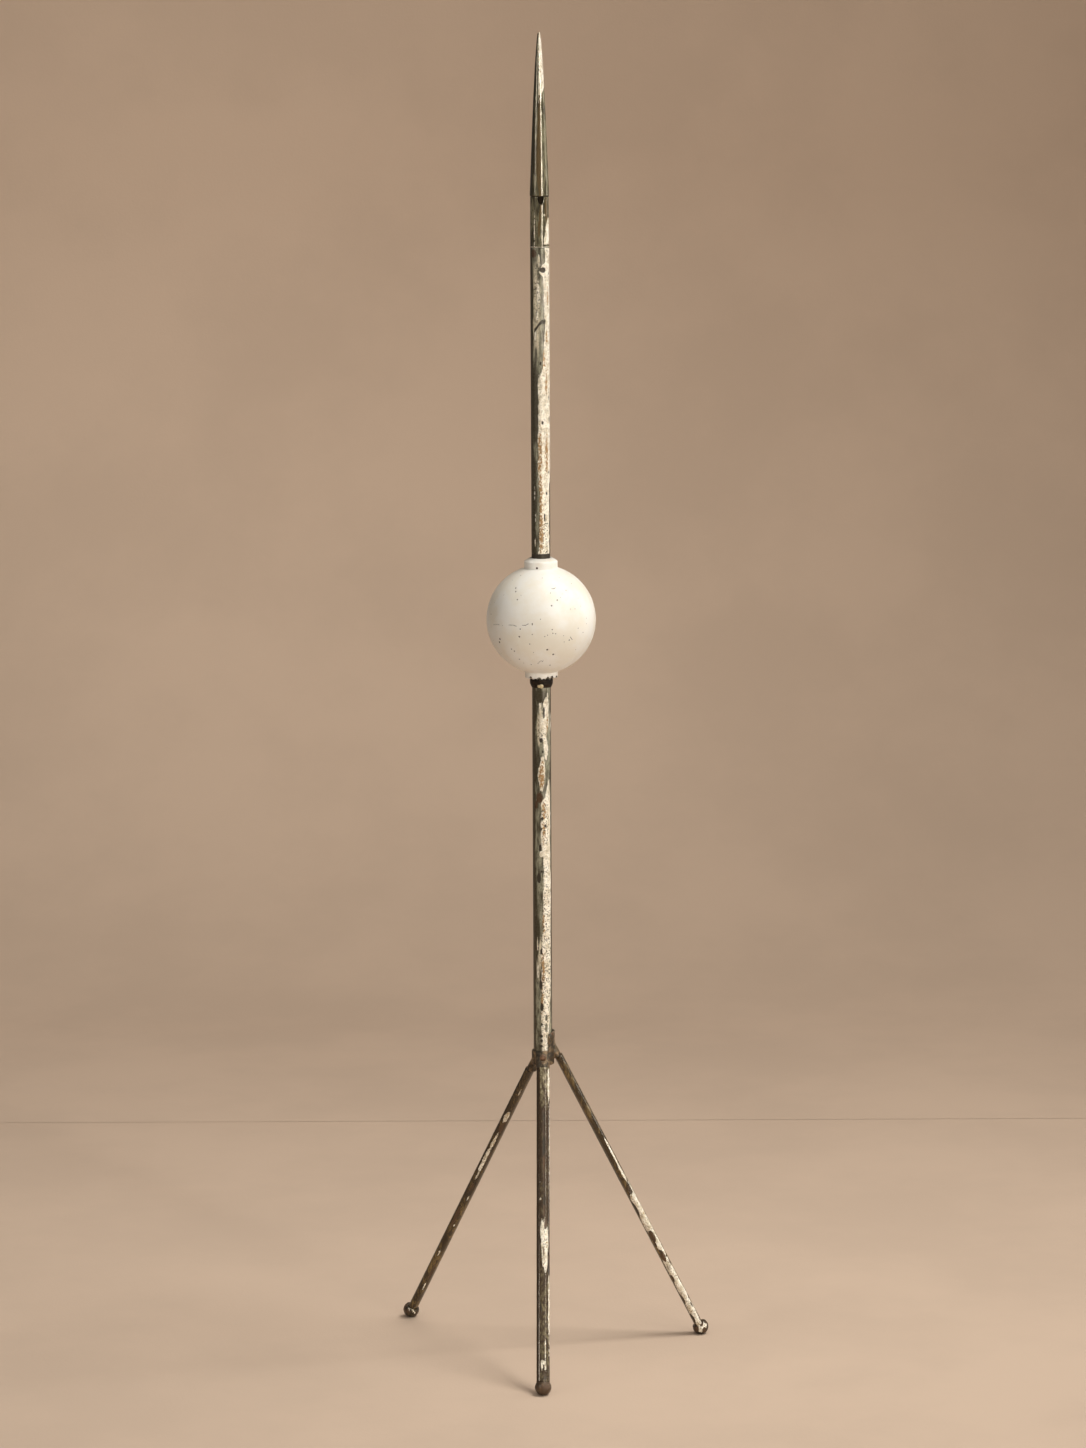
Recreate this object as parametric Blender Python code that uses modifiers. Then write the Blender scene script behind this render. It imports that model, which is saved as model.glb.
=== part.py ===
"""Lightning rod: a painted tube with a tapered point and a milk-glass ball, on three splayed iron legs.

Metres, +Z up. The origin is on the floor, in the middle of the box that the whole rod fits in.
The tube's own axis stands a little off the origin, because the legs are not splayed evenly.
"""

import math
import random

import bmesh
import bpy
from mathutils import Matrix, Vector

# Fits
FIT_GAP = 0.0003  # left between two pieces that touch
HOLE_CLEARANCE = 0.0003  # on the radius of a hole that takes a rivet, a pin or a shank

# Tube
TUBE_DIAMETER = 0.0200
TUBE_WALL = 0.0015
TUBE_LENGTH = 0.8779
TUBE_RECESS = 0.0005  # from the foot of the collar up to the tube's lower end

# Ferrule between tube and point
FERRULE_LENGTH = 0.0531
FERRULE_FOOT_DIAMETER = 0.0200
FERRULE_TOP_DIAMETER = 0.0196
FERRULE_BEAD_HEIGHT = 0.0013
FERRULE_BEAD_STAND = 0.0003
FERRULE_NOTCH_WIDTH = 0.0077  # the piece broken out of the ferrule's mouth
FERRULE_NOTCH_DEPTH = 0.0084
FERRULE_NOTCH_OFFSET = 0.0014

# Point
POINT_LENGTH = 0.1695
POINT_BASE_DIAMETER = 0.0204
POINT_TIP_DIAMETER = 0.0016
POINT_SWELL = 0.64  # power of the curve: 1 is a cone, 0.5 a parabola
POINT_LIP_HEIGHT = 0.0010
POINT_SHANK_REACH = 0.0250  # how far the shank goes down inside the tube

# Glass ball
BALL_DIAMETER = 0.1160
BALL_WALL = 0.0035
NECK_DIAMETER = 0.0352
NECK_BORE = 0.0220
NECK_TOP_RISE = 0.0663  # from the ball's centre to the top of the upper neck
NECK_TOP_SLOPE = 0.0030  # how far the upper neck's face falls from its bore to its rim
NECK_TOP_LAND = 0.0005  # the flat left round the bore
NECK_BOTTOM_DROP = 0.0622  # from the ball's centre to the lower neck's face
NECK_ROUND = 0.0014
CHIP_COUNT = 9
CHIP_SIZE = 0.0028

# Flared cup under the ball, and its pin
CUP_HEIGHT = 0.0100
CUP_MOUTH_DIAMETER = 0.0248
CUP_FOOT_WALL = 0.0004
CUP_MOUTH_HEIGHT = 0.4211  # from the tube's lower end to the cup's mouth
CUP_TOOTH_COUNT = 11
CUP_TOOTH_DEPTH = 0.0011
PIN_DIAMETER = 0.0024
PIN_HEAD_DIAMETER = 0.0046
PIN_HEAD_HEIGHT = 0.0015
PIN_LOBE_DIAMETER = 0.0034
PIN_LOBE_OFFSET = 0.0027
PIN_RISE = 0.0026  # from the foot of the cup to the pin's axis
PIN_TAIL = 0.0016  # how far the pin's back end stands out

# Tripod head
HEAD_FOOT_HEIGHT = 0.3146  # from the floor to the foot of the collar
COLLAR_HEIGHT = 0.0154
COLLAR_WALL = 0.0019
COLLAR_ROUND = 0.0010
KNUCKLE_REACH = 0.0240  # from a knuckle's centre to the end it would have if it were not cut
KNUCKLE_LIP = 0.0003  # how far the knuckle's face stands out around the leg
KNUCKLE_WALL = 0.0006  # the metal left between a leg's seat and the bore
SADDLE_WALL = 0.0025
SADDLE_RISE = 0.0215  # above the collar
SADDLE_WIDTH = 0.0232
SADDLE_START = 0.0035  # from the tube's axis out to the saddle's edges
SADDLE_CORNER = 0.0070

# Rivets
RIVET_FRONT_HEIGHT = 0.0099  # above the foot of the collar
RIVET_FRONT_HEAD = 0.0068
RIVET_FRONT_DOME = 0.0014
RIVET_FRONT_SHANK = 0.0040
RIVET_FRONT_SEAT = 0.0148  # from the tube's axis to the underside of the head
RIVET_SADDLE_HEIGHT = 0.0346
RIVET_SADDLE_AZIMUTH = -33.0
RIVET_SADDLE_HEAD = 0.0036
RIVET_SADDLE_DOME = 0.0010
RIVET_SADDLE_SHANK = 0.0020
RIVET_SADDLE_SINK = 0.0006  # how deep its seat is cut into the saddle
RIVET_CLINCH = 0.0010  # how far a shank stands out inside the tube

# Legs: direction in degrees from +X, reach of the foot's centre, knuckle's centre above the collar's foot
LEGS = {
    "front": {"azimuth": -90.4, "reach": 0.1788, "root": 0.0040},
    "left": {"azimuth": 143.5, "reach": 0.1830, "root": -0.0034},
    "right": {"azimuth": 13.1, "reach": 0.1758, "root": 0.0136},
}
LEG_WIDTH = 0.0143
LEG_THICKNESS = 0.0092
FOOT_DIAMETER = 0.0176
FOOT_FLAT_DIAMETER = 0.0072
FOOT_SEAT_DIAMETER = 0.0150  # the flat on the ball that the leg stands on

# Number of sides
SIDES_BALL = 40
SIDES_TUBE = 32
SIDES_SMALL = 20
SIDES_LEG = 24

# Worked out from the sizes above
TUBE_RADIUS = TUBE_DIAMETER / 2
TUBE_BORE_RADIUS = TUBE_RADIUS - TUBE_WALL
TUBE_FOOT = HEAD_FOOT_HEIGHT + TUBE_RECESS
TUBE_TOP = TUBE_FOOT + TUBE_LENGTH
FERRULE_FOOT = TUBE_TOP + FIT_GAP
FERRULE_TOP = FERRULE_FOOT + FERRULE_LENGTH
POINT_FOOT = FERRULE_TOP + FIT_GAP
COLLAR_BORE_RADIUS = TUBE_RADIUS + FIT_GAP
COLLAR_RADIUS = COLLAR_BORE_RADIUS + COLLAR_WALL
SADDLE_RADIUS = COLLAR_BORE_RADIUS + SADDLE_WALL
CUP_MOUTH = TUBE_FOOT + CUP_MOUTH_HEIGHT
CUP_FOOT = CUP_MOUTH - CUP_HEIGHT
CUP_BORE_RADIUS = TUBE_RADIUS + FIT_GAP
CUP_FOOT_RADIUS = CUP_BORE_RADIUS + CUP_FOOT_WALL
BALL_CENTRE = CUP_MOUTH + FIT_GAP + NECK_BOTTOM_DROP
FOOT_CENTRE = math.sqrt((FOOT_DIAMETER / 2) ** 2 - (FOOT_FLAT_DIAMETER / 2) ** 2)
FOOT_SEAT = math.sqrt((FOOT_DIAMETER / 2) ** 2 - (FOOT_SEAT_DIAMETER / 2) ** 2)


def on_circle(radius, azimuth, height):
    """A point at this distance from the tube's axis, in this direction, at this height."""
    angle = math.radians(azimuth)
    return Vector((radius * math.cos(angle), radius * math.sin(angle), height))


def foot_point(leg):
    return on_circle(leg["reach"], leg["azimuth"], FOOT_CENTRE)


def knuckle_point(leg):
    return on_circle(COLLAR_RADIUS, leg["azimuth"], HEAD_FOOT_HEIGHT + leg["root"])


def shoulder(leg):
    """From a knuckle's centre to the flat face that the leg butts against, clear of the bore."""
    down = (foot_point(leg) - knuckle_point(leg)).normalized()
    upright = -down.z
    outward = math.sqrt(1 - upright**2)
    inner_edge = (LEG_THICKNESS / 2 + FIT_GAP) * upright - COLLAR_WALL
    return max((inner_edge + KNUCKLE_WALL) / outward, KNUCKLE_WALL)


def axis_place():
    """Where the tube's axis meets the floor, so that the origin is the middle of the whole box."""
    feet = [foot_point(leg) for leg in LEGS.values()]
    reaches = [(point, FOOT_DIAMETER / 2) for point in feet] + [(Vector((0, 0, 0)), BALL_DIAMETER / 2)]
    lows = [min(point[side] - radius for point, radius in reaches) for side in (0, 1)]
    highs = [max(point[side] + radius for point, radius in reaches) for side in (0, 1)]
    return Vector((-(lows[0] + highs[0]) / 2, -(lows[1] + highs[1]) / 2, 0))


# Scene

for old in list(bpy.data.objects):
    bpy.data.objects.remove(old, do_unlink=True)

parts = bpy.data.collections.new("lightning_rod")
cutters = bpy.data.collections.new("cutters")
bpy.context.scene.collection.children.link(parts)
bpy.context.scene.collection.children.link(cutters)

rod_axis = bpy.data.objects.new("rod_axis", None)
rod_axis.location = axis_place()
parts.objects.link(rod_axis)


def material(name, colour, roughness, metallic=0.0, alpha=1.0):
    """A plain Principled material."""
    made = bpy.data.materials.new(name)
    made.use_nodes = True
    shader = made.node_tree.nodes["Principled BSDF"]
    shader.inputs["Base Color"].default_value = (*colour, 1.0)
    shader.inputs["Roughness"].default_value = roughness
    shader.inputs["Metallic"].default_value = metallic
    shader.inputs["Alpha"].default_value = alpha
    made.diffuse_color = (*colour, alpha)
    return made


def add(name, mesh, look, place=Matrix.Identity(4)):
    """A named piece of the rod, placed about the tube's axis."""
    piece = bpy.data.objects.new(name, mesh)
    parts.objects.link(piece)
    piece.parent = rod_axis
    piece.matrix_local = place
    mesh.materials.append(look)
    return piece


def add_cutter(name, mesh, place=Matrix.Identity(4)):
    """A shape that only cuts or joins others."""
    cutter = bpy.data.objects.new(name, mesh)
    cutters.objects.link(cutter)
    cutter.parent = rod_axis
    cutter.matrix_local = place
    cutter.hide_render = True
    cutter.display_type = "WIRE"
    return cutter


def boolean(piece, cutter, operation="DIFFERENCE"):
    step = piece.modifiers.new(operation.lower(), "BOOLEAN")
    step.object = cutter
    step.operation = operation
    step.solver = "EXACT"


def shade(mesh, angle=35.0):
    mesh.shade_smooth()
    mesh.set_sharp_from_angle(angle=math.radians(angle))


def turned_mesh(name, outline, closed):
    """The outline of a turned piece at +X, running down its outer side."""
    mesh = bpy.data.meshes.new(name)
    count = len(outline)
    edges = [(i, i + 1) for i in range(count - 1)]
    if closed:
        edges.append((count - 1, 0))
    mesh.from_pydata([(radius, 0.0, height) for radius, height in outline], edges, [])
    return mesh


def add_screw(piece, sides):
    screw = piece.modifiers.new("turn", "SCREW")
    screw.axis = "Z"
    screw.angle = math.radians(360)
    screw.steps = sides
    screw.render_steps = sides
    screw.use_merge_vertices = True
    screw.merge_threshold = 0.00002
    screw.use_smooth_shade = True


def rounded_corner(centre, radius, start, end, count=4):
    """Points of a quarter round in an outline, from one angle to another, in degrees."""
    points = []
    for i in range(count + 1):
        angle = math.radians(start + (end - start) * i / count)
        points.append((centre[0] + radius * math.cos(angle), centre[1] + radius * math.sin(angle)))
    return points


def cylinder_mesh(name, radius, length, sides, wide=1.0, deep=1.0):
    """A closed cylinder along Z about its middle, stretched to an oval where asked."""
    shape = bmesh.new()
    bmesh.ops.create_cone(shape, cap_ends=True, segments=sides, radius1=radius, radius2=radius, depth=length)
    bmesh.ops.scale(shape, vec=(wide, deep, 1.0), verts=shape.verts)
    mesh = bpy.data.meshes.new(name)
    shape.to_mesh(mesh)
    shape.free()
    return mesh


def radial_place(azimuth, height, distance=0.0):
    """A frame on the tube's axis whose Z points outwards in this direction, shifted along it."""
    turn = Matrix.Rotation(math.radians(azimuth), 4, "Z") @ Matrix.Rotation(math.radians(90), 4, "Y")
    return Matrix.Translation((0, 0, height)) @ turn @ Matrix.Translation((0, 0, distance))


def leg_place(leg, centre):
    """A frame at centre with X across the leg, Y through its thickness and Z down along it."""
    down = (foot_point(leg) - knuckle_point(leg)).normalized()
    across = Vector((-math.sin(math.radians(leg["azimuth"])), math.cos(math.radians(leg["azimuth"])), 0))
    through = down.cross(across)
    turn = Matrix((across, through, down)).transposed().to_4x4()
    return Matrix.Translation(centre) @ turn


def cut_flat(shape, point, outward):
    """Cuts a closed shape by a plane, drops what lies outward of it and closes the cut."""
    geometry = shape.verts[:] + shape.edges[:] + shape.faces[:]
    cut = bmesh.ops.bisect_plane(shape, geom=geometry, plane_co=point, plane_no=outward, clear_outer=True)
    rim = [item for item in cut["geom_cut"] if isinstance(item, bmesh.types.BMEdge)]
    bmesh.ops.edgenet_fill(shape, edges=rim)
    bmesh.ops.recalc_face_normals(shape, faces=shape.faces[:])


# Finishes

paint_over_metal = material("weathered_paint", (0.42, 0.40, 0.31), 0.5)
tube_paint = material("tube_paint", (0.55, 0.51, 0.40), 0.5)
milk_glass = material("milk_glass", (0.86, 0.82, 0.72), 0.15)
black_iron = material("black_iron", (0.035, 0.028, 0.022), 0.7, metallic=0.3)
pin_paint = material("pin_paint", (0.72, 0.66, 0.50), 0.5)
rusted_iron = material("rusted_iron", (0.16, 0.10, 0.06), 0.7, metallic=0.4)
rivet_copper = material("rivet_copper", (0.33, 0.20, 0.12), 0.5, metallic=0.7)
leg_paint = material("leg_paint", (0.28, 0.25, 0.17), 0.5)
foot_iron = material("foot_iron", (0.13, 0.09, 0.06), 0.55, metallic=0.4)


# Point and ferrule


def make_point():
    """A solid spire with a lip at its foot, and a shank that runs through the ferrule into the tube."""
    tip_radius = POINT_TIP_DIAMETER / 2
    base_radius = POINT_BASE_DIAMETER / 2
    lip_top = POINT_FOOT + POINT_LIP_HEIGHT
    spire = POINT_FOOT + POINT_LENGTH - lip_top
    rings = 12
    outline = [(0.0, POINT_FOOT + POINT_LENGTH)]
    for i in range(rings + 1):
        share = (i / rings) ** 1.6
        radius = tip_radius + (base_radius - tip_radius) * share**POINT_SWELL
        drop = spire * share if i else tip_radius / 2
        outline.append((radius, lip_top + spire - drop))
    outline.append((base_radius, POINT_FOOT))
    shank_radius = TUBE_BORE_RADIUS - HOLE_CLEARANCE
    outline.append((shank_radius, POINT_FOOT))
    outline.append((shank_radius, TUBE_TOP - POINT_SHANK_REACH))
    outline.append((0.0, TUBE_TOP - POINT_SHANK_REACH))
    piece = add("point", turned_mesh("point", outline, closed=False), paint_over_metal)
    add_screw(piece, SIDES_LEG)


def make_ferrule():
    """A sleeve over the point's shank, with a bead at its foot and a piece broken out of its mouth."""
    top = FERRULE_TOP_DIAMETER / 2
    foot = FERRULE_FOOT_DIAMETER / 2
    bead = foot + FERRULE_BEAD_STAND
    bead_top = FERRULE_FOOT + FERRULE_BEAD_HEIGHT
    bead_edge = FERRULE_BEAD_HEIGHT / 4
    outline = [
        (top, FERRULE_TOP),
        (foot, bead_top),
        (bead, bead_top - bead_edge),
        (bead, FERRULE_FOOT + bead_edge),
        (foot, FERRULE_FOOT),
        (TUBE_BORE_RADIUS, FERRULE_FOOT),
        (TUBE_BORE_RADIUS, FERRULE_TOP),
    ]
    piece = add("ferrule", turned_mesh("ferrule", outline, closed=True), paint_over_metal)
    add_screw(piece, SIDES_TUBE)
    half_width = FERRULE_NOTCH_WIDTH / 2
    stretch = FERRULE_NOTCH_DEPTH / half_width
    mesh = cylinder_mesh("ferrule_notch", half_width, TUBE_DIAMETER, SIDES_SMALL, wide=stretch)
    aside = Matrix.Translation((0, FERRULE_NOTCH_OFFSET, 0))
    place = radial_place(-90, FERRULE_TOP, TUBE_DIAMETER / 2) @ aside
    boolean(piece, add_cutter("ferrule_notch", mesh, place))


# Tube


def make_tube(holes):
    """One long tube, open at both ends, drilled for the rivets and for the pin."""
    outline = [
        (TUBE_RADIUS, TUBE_TOP),
        (TUBE_RADIUS, TUBE_FOOT),
        (TUBE_BORE_RADIUS, TUBE_FOOT),
        (TUBE_BORE_RADIUS, TUBE_TOP),
    ]
    piece = add("rod_tube", turned_mesh("rod_tube", outline, closed=True), tube_paint)
    add_screw(piece, SIDES_TUBE)
    for hole in holes:
        boolean(piece, hole)


# Glass ball


def ball_outline():
    """Outside from the upper neck down, then inside from the lower neck up."""
    outer = BALL_DIAMETER / 2
    inner = outer - BALL_WALL
    neck = NECK_DIAMETER / 2
    bore = NECK_BORE / 2
    top = BALL_CENTRE + NECK_TOP_RISE
    bottom = BALL_CENTRE - NECK_BOTTOM_DROP
    rim = top - NECK_TOP_SLOPE
    slope = math.degrees(math.atan2(NECK_TOP_SLOPE, neck - bore - NECK_TOP_LAND))
    outline = [(bore + NECK_TOP_LAND, top)]
    outline += rounded_corner((neck - NECK_ROUND, rim - NECK_ROUND), NECK_ROUND, 90 - slope, 0, 3)
    meet_outer = math.degrees(math.acos(neck / outer))
    outline += rounded_corner((0, BALL_CENTRE), outer, meet_outer, -meet_outer, 18)
    outline += rounded_corner((neck - NECK_ROUND, bottom + NECK_ROUND), NECK_ROUND, 0, -90, 3)
    meet_inner = math.degrees(math.acos(bore / inner))
    outline.append((bore, bottom))
    outline += rounded_corner((0, BALL_CENTRE), inner, -meet_inner, meet_inner, 8)
    outline.append((bore, top))
    return outline


def chip_mesh(chance):
    """Small faceted lumps around the lower neck's edge, most of them at the front and right."""
    shape = bmesh.new()
    bottom = BALL_CENTRE - NECK_BOTTOM_DROP
    for i in range(CHIP_COUNT):
        azimuth = -165 + 330 * i / CHIP_COUNT + chance.uniform(-5, 5)
        size = CHIP_SIZE * chance.uniform(0.5, 1.0)
        lump = bmesh.ops.create_icosphere(shape, subdivisions=1, radius=size)["verts"]
        bmesh.ops.scale(shape, vec=(1.0, 1.3, 0.8), verts=lump)
        turn = Matrix.Rotation(chance.uniform(0, math.pi), 4, "Z")
        place = Matrix.Translation(on_circle(NECK_DIAMETER / 2 - size * 0.3, azimuth, bottom + size * 0.1))
        bmesh.ops.transform(shape, matrix=place @ turn, verts=lump)
    mesh = bpy.data.meshes.new("neck_chips")
    shape.to_mesh(mesh)
    shape.free()
    return mesh


def make_ball():
    """A blown ball with a short neck above and below; the tube passes through both."""
    piece = add("glass_ball", turned_mesh("glass_ball", ball_outline(), closed=True), milk_glass)
    add_screw(piece, SIDES_BALL)
    boolean(piece, add_cutter("neck_chips", chip_mesh(random.Random(4))))


# Cup and pin


def make_cup(hole):
    """A flared cup around the tube, with a ragged mouth; the ball's lower neck rests on it."""
    mouth = CUP_MOUTH_DIAMETER / 2
    outline = [
        (mouth - 0.15 * (mouth - CUP_FOOT_RADIUS), CUP_MOUTH),
        (mouth, CUP_MOUTH - 0.30 * CUP_HEIGHT),
        (mouth - 0.10 * (mouth - CUP_FOOT_RADIUS), CUP_MOUTH - 0.62 * CUP_HEIGHT),
        (CUP_FOOT_RADIUS + 0.20 * (mouth - CUP_FOOT_RADIUS), CUP_MOUTH - 0.90 * CUP_HEIGHT),
        (CUP_FOOT_RADIUS, CUP_FOOT),
        (CUP_BORE_RADIUS, CUP_FOOT),
        (CUP_BORE_RADIUS, CUP_MOUTH),
    ]
    piece = add("ball_support", turned_mesh("ball_support", outline, closed=True), black_iron)
    add_screw(piece, SIDES_TUBE)
    boolean(piece, add_cutter("cup_teeth", teeth_mesh(random.Random(7))))
    boolean(piece, hole)


def teeth_mesh(chance):
    """Wedges that leave the cup's mouth ragged."""
    shape = bmesh.new()
    for i in range(CUP_TOOTH_COUNT):
        azimuth = 360 * i / CUP_TOOTH_COUNT + chance.uniform(-6, 6)
        depth = CUP_TOOTH_DEPTH * chance.uniform(0.6, 1.4)
        wedge = bmesh.ops.create_cone(
            shape, cap_ends=True, segments=4, radius1=depth, radius2=depth, depth=CUP_MOUTH_DIAMETER / 2
        )["verts"]
        place = radial_place(azimuth, CUP_MOUTH, CUP_MOUTH_DIAMETER / 2)
        bmesh.ops.transform(shape, matrix=place, verts=wedge)
    mesh = bpy.data.meshes.new("cup_teeth")
    shape.to_mesh(mesh)
    shape.free()
    return mesh


def pin_height():
    return CUP_FOOT + PIN_RISE


def make_pin():
    """A pin through cup and tube, front to back, with a two-lobed head at the front."""
    shank = PIN_DIAMETER / 2
    head = PIN_HEAD_DIAMETER / 2
    seat = CUP_MOUTH_DIAMETER / 2 + FIT_GAP
    outline = dome_outline(head, PIN_HEAD_HEIGHT, seat)
    outline.append((shank, seat))
    outline.append((shank, -seat - PIN_TAIL))
    outline.append((0.0, -seat - PIN_TAIL))
    place = radial_place(-90, pin_height())
    piece = add("support_pin", turned_mesh("support_pin", outline, closed=False), pin_paint, place)
    add_screw(piece, SIDES_SMALL)
    lobe = dome_outline(PIN_LOBE_DIAMETER / 2, PIN_HEAD_HEIGHT - FIT_GAP / 2, seat)
    lobe.append((0.0, seat))
    lobe_place = place @ Matrix.Translation((0, -PIN_LOBE_OFFSET, 0))
    cutter = add_cutter("pin_lobe", turned_mesh("pin_lobe", lobe, closed=False), lobe_place)
    add_screw(cutter, SIDES_SMALL)
    boolean(piece, cutter, "UNION")


# Rivets


def dome_outline(radius, height, seat):
    """A low round head, from its crown on the axis down to the edge of its seat."""
    points = []
    for i in range(5):
        angle = math.radians(90 - 90 * i / 4)
        points.append((radius * math.cos(angle), seat + height * (0.25 + 0.75 * math.sin(angle))))
    points[0] = (0.0, points[0][1])
    points.append((radius, seat))
    return points


def make_rivet(name, azimuth, height, head, dome, shank, seat):
    """A round-headed rivet through the head casting, clinched inside the tube."""
    outline = dome_outline(head / 2, dome, seat)
    inner_end = TUBE_BORE_RADIUS - RIVET_CLINCH
    outline.append((shank / 2, seat))
    outline.append((shank / 2, inner_end))
    outline.append((0.0, inner_end))
    place = radial_place(azimuth, height)
    piece = add(name, turned_mesh(name, outline, closed=False), rivet_copper, place)
    add_screw(piece, SIDES_SMALL)


def hole_cutter(name, azimuth, height, radius, start, end):
    """A drill along a radius, from one distance to another."""
    mesh = cylinder_mesh(name, radius, end - start, SIDES_SMALL)
    return add_cutter(name, mesh, radial_place(azimuth, height, (start + end) / 2))


# Tripod head


def collar_outline():
    """The collar before it is bored, from its top on the axis down."""
    top = HEAD_FOOT_HEIGHT + COLLAR_HEIGHT
    outline = [(0.0, top)]
    outline += rounded_corner((COLLAR_RADIUS - COLLAR_ROUND, top - COLLAR_ROUND), COLLAR_ROUND, 90, 0, 3)
    foot = (COLLAR_RADIUS - COLLAR_ROUND, HEAD_FOOT_HEIGHT + COLLAR_ROUND)
    outline += rounded_corner(foot, COLLAR_ROUND, 0, -90, 3)
    outline.append((0.0, HEAD_FOOT_HEIGHT))
    return outline


def knuckle_mesh(name, leg):
    """An egg-shaped boss, cut flat where the leg butts against it."""
    shape = bmesh.new()
    narrowing = math.sqrt(1 - (shoulder(leg) / KNUCKLE_REACH) ** 2)
    width = (LEG_WIDTH / 2 + KNUCKLE_LIP) / narrowing
    thickness = (LEG_THICKNESS / 2 + KNUCKLE_LIP) / narrowing
    bmesh.ops.create_uvsphere(shape, u_segments=SIDES_LEG, v_segments=12, radius=1.0)
    bmesh.ops.scale(shape, vec=(width, thickness, KNUCKLE_REACH), verts=shape.verts)
    cut_flat(shape, (0, 0, shoulder(leg)), (0, 0, 1))
    mesh = bpy.data.meshes.new(name)
    shape.to_mesh(mesh)
    shape.free()
    return mesh


def saddle_shape():
    """A tall strap that hugs the right side of the tube: a round bar kept inside a round-cornered slab."""
    foot = HEAD_FOOT_HEIGHT + COLLAR_HEIGHT / 2
    top = HEAD_FOOT_HEIGHT + COLLAR_HEIGHT + SADDLE_RISE
    height = 2 * (top - foot)
    bar_mesh = cylinder_mesh("saddle", SADDLE_RADIUS, height, SIDES_TUBE)
    bar = add_cutter("saddle", bar_mesh, Matrix.Translation((0, 0, foot + height / 2)))
    slab = bmesh.new()
    bmesh.ops.create_cube(slab, size=1.0)
    bmesh.ops.scale(slab, vec=(TUBE_DIAMETER, SADDLE_WIDTH, top - foot), verts=slab.verts)
    bmesh.ops.translate(slab, vec=(SADDLE_START + TUBE_RADIUS, 0, (top + foot) / 2), verts=slab.verts)
    corners = [edge for edge in slab.edges if is_upper_corner(edge, (top + foot) / 2)]
    bmesh.ops.bevel(slab, geom=corners, offset=SADDLE_CORNER, segments=5, profile=0.5, affect="EDGES")
    mesh = bpy.data.meshes.new("saddle_slab")
    slab.to_mesh(mesh)
    slab.free()
    turn = Matrix.Rotation(math.radians(LEGS["right"]["azimuth"]), 4, "Z")
    boolean(bar, add_cutter("saddle_slab", mesh, turn), "INTERSECT")
    return bar


def is_upper_corner(edge, middle):
    """True for the two upper edges of the slab that run outwards from the tube."""
    first, second = edge.verts
    return min(first.co.z, second.co.z) > middle and abs(first.co.y - second.co.y) < FIT_GAP


def make_head(holes):
    """A cast collar around the tube, with a knuckle for each leg and a tall saddle on the right."""
    piece = add("tripod_head", turned_mesh("tripod_head", collar_outline(), closed=False), rusted_iron)
    add_screw(piece, SIDES_TUBE)
    for name, leg in LEGS.items():
        knuckle = knuckle_mesh(f"knuckle_{name}", leg)
        boolean(piece, add_cutter(f"knuckle_{name}", knuckle, leg_place(leg, knuckle_point(leg))), "UNION")
    boolean(piece, saddle_shape(), "UNION")
    bore_length = 4 * (COLLAR_HEIGHT + SADDLE_RISE)
    bore_mesh = cylinder_mesh("head_bore", COLLAR_BORE_RADIUS, bore_length, SIDES_TUBE)
    bore = add_cutter("head_bore", bore_mesh, Matrix.Translation((0, 0, HEAD_FOOT_HEIGHT)))
    boolean(piece, bore)
    for name, leg in LEGS.items():
        boolean(piece, leg_seat(name, leg))
    for hole in holes:
        boolean(piece, hole)


def leg_seat(name, leg):
    """The room that a leg's top takes out of the casting."""
    deep = (LEG_THICKNESS / 2 + FIT_GAP) / (LEG_WIDTH / 2 + FIT_GAP)
    length = 2 * KNUCKLE_REACH
    mesh = cylinder_mesh(f"seat_{name}", LEG_WIDTH / 2 + FIT_GAP, length, SIDES_LEG, deep=deep)
    down = (foot_point(leg) - knuckle_point(leg)).normalized()
    centre = knuckle_point(leg) + down * (shoulder(leg) + FIT_GAP / 2 + length / 2)
    return add_cutter(f"seat_{name}", mesh, leg_place(leg, centre))


# Legs and feet


def make_leg(name, leg):
    """A straight oval bar from its knuckle to its foot."""
    knuckle = knuckle_point(leg)
    foot = foot_point(leg)
    down = (foot - knuckle).normalized()
    top = knuckle + down * (shoulder(leg) + FIT_GAP)
    bottom = foot - down * (FOOT_SEAT + FIT_GAP)
    deep = LEG_THICKNESS / LEG_WIDTH
    mesh = cylinder_mesh(f"leg_{name}", LEG_WIDTH / 2, (bottom - top).length, SIDES_LEG, deep=deep)
    shade(mesh)
    add(f"leg_{name}", mesh, leg_paint, leg_place(leg, (top + bottom) / 2))


def make_foot(name, leg):
    """A ball at the end of the leg, flat where the leg stands on it and flat on the floor."""
    foot = foot_point(leg)
    up = (knuckle_point(leg) - foot).normalized()
    shape = bmesh.new()
    bmesh.ops.create_uvsphere(shape, u_segments=SIDES_LEG, v_segments=12, radius=FOOT_DIAMETER / 2)
    cut_flat(shape, up * FOOT_SEAT, up)
    cut_flat(shape, (0, 0, -FOOT_CENTRE), (0, 0, -1))
    mesh = bpy.data.meshes.new(f"foot_{name}")
    shape.to_mesh(mesh)
    shape.free()
    shade(mesh)
    add(f"foot_{name}", mesh, foot_iron, Matrix.Translation(foot))


# The rod, from the point down

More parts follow.
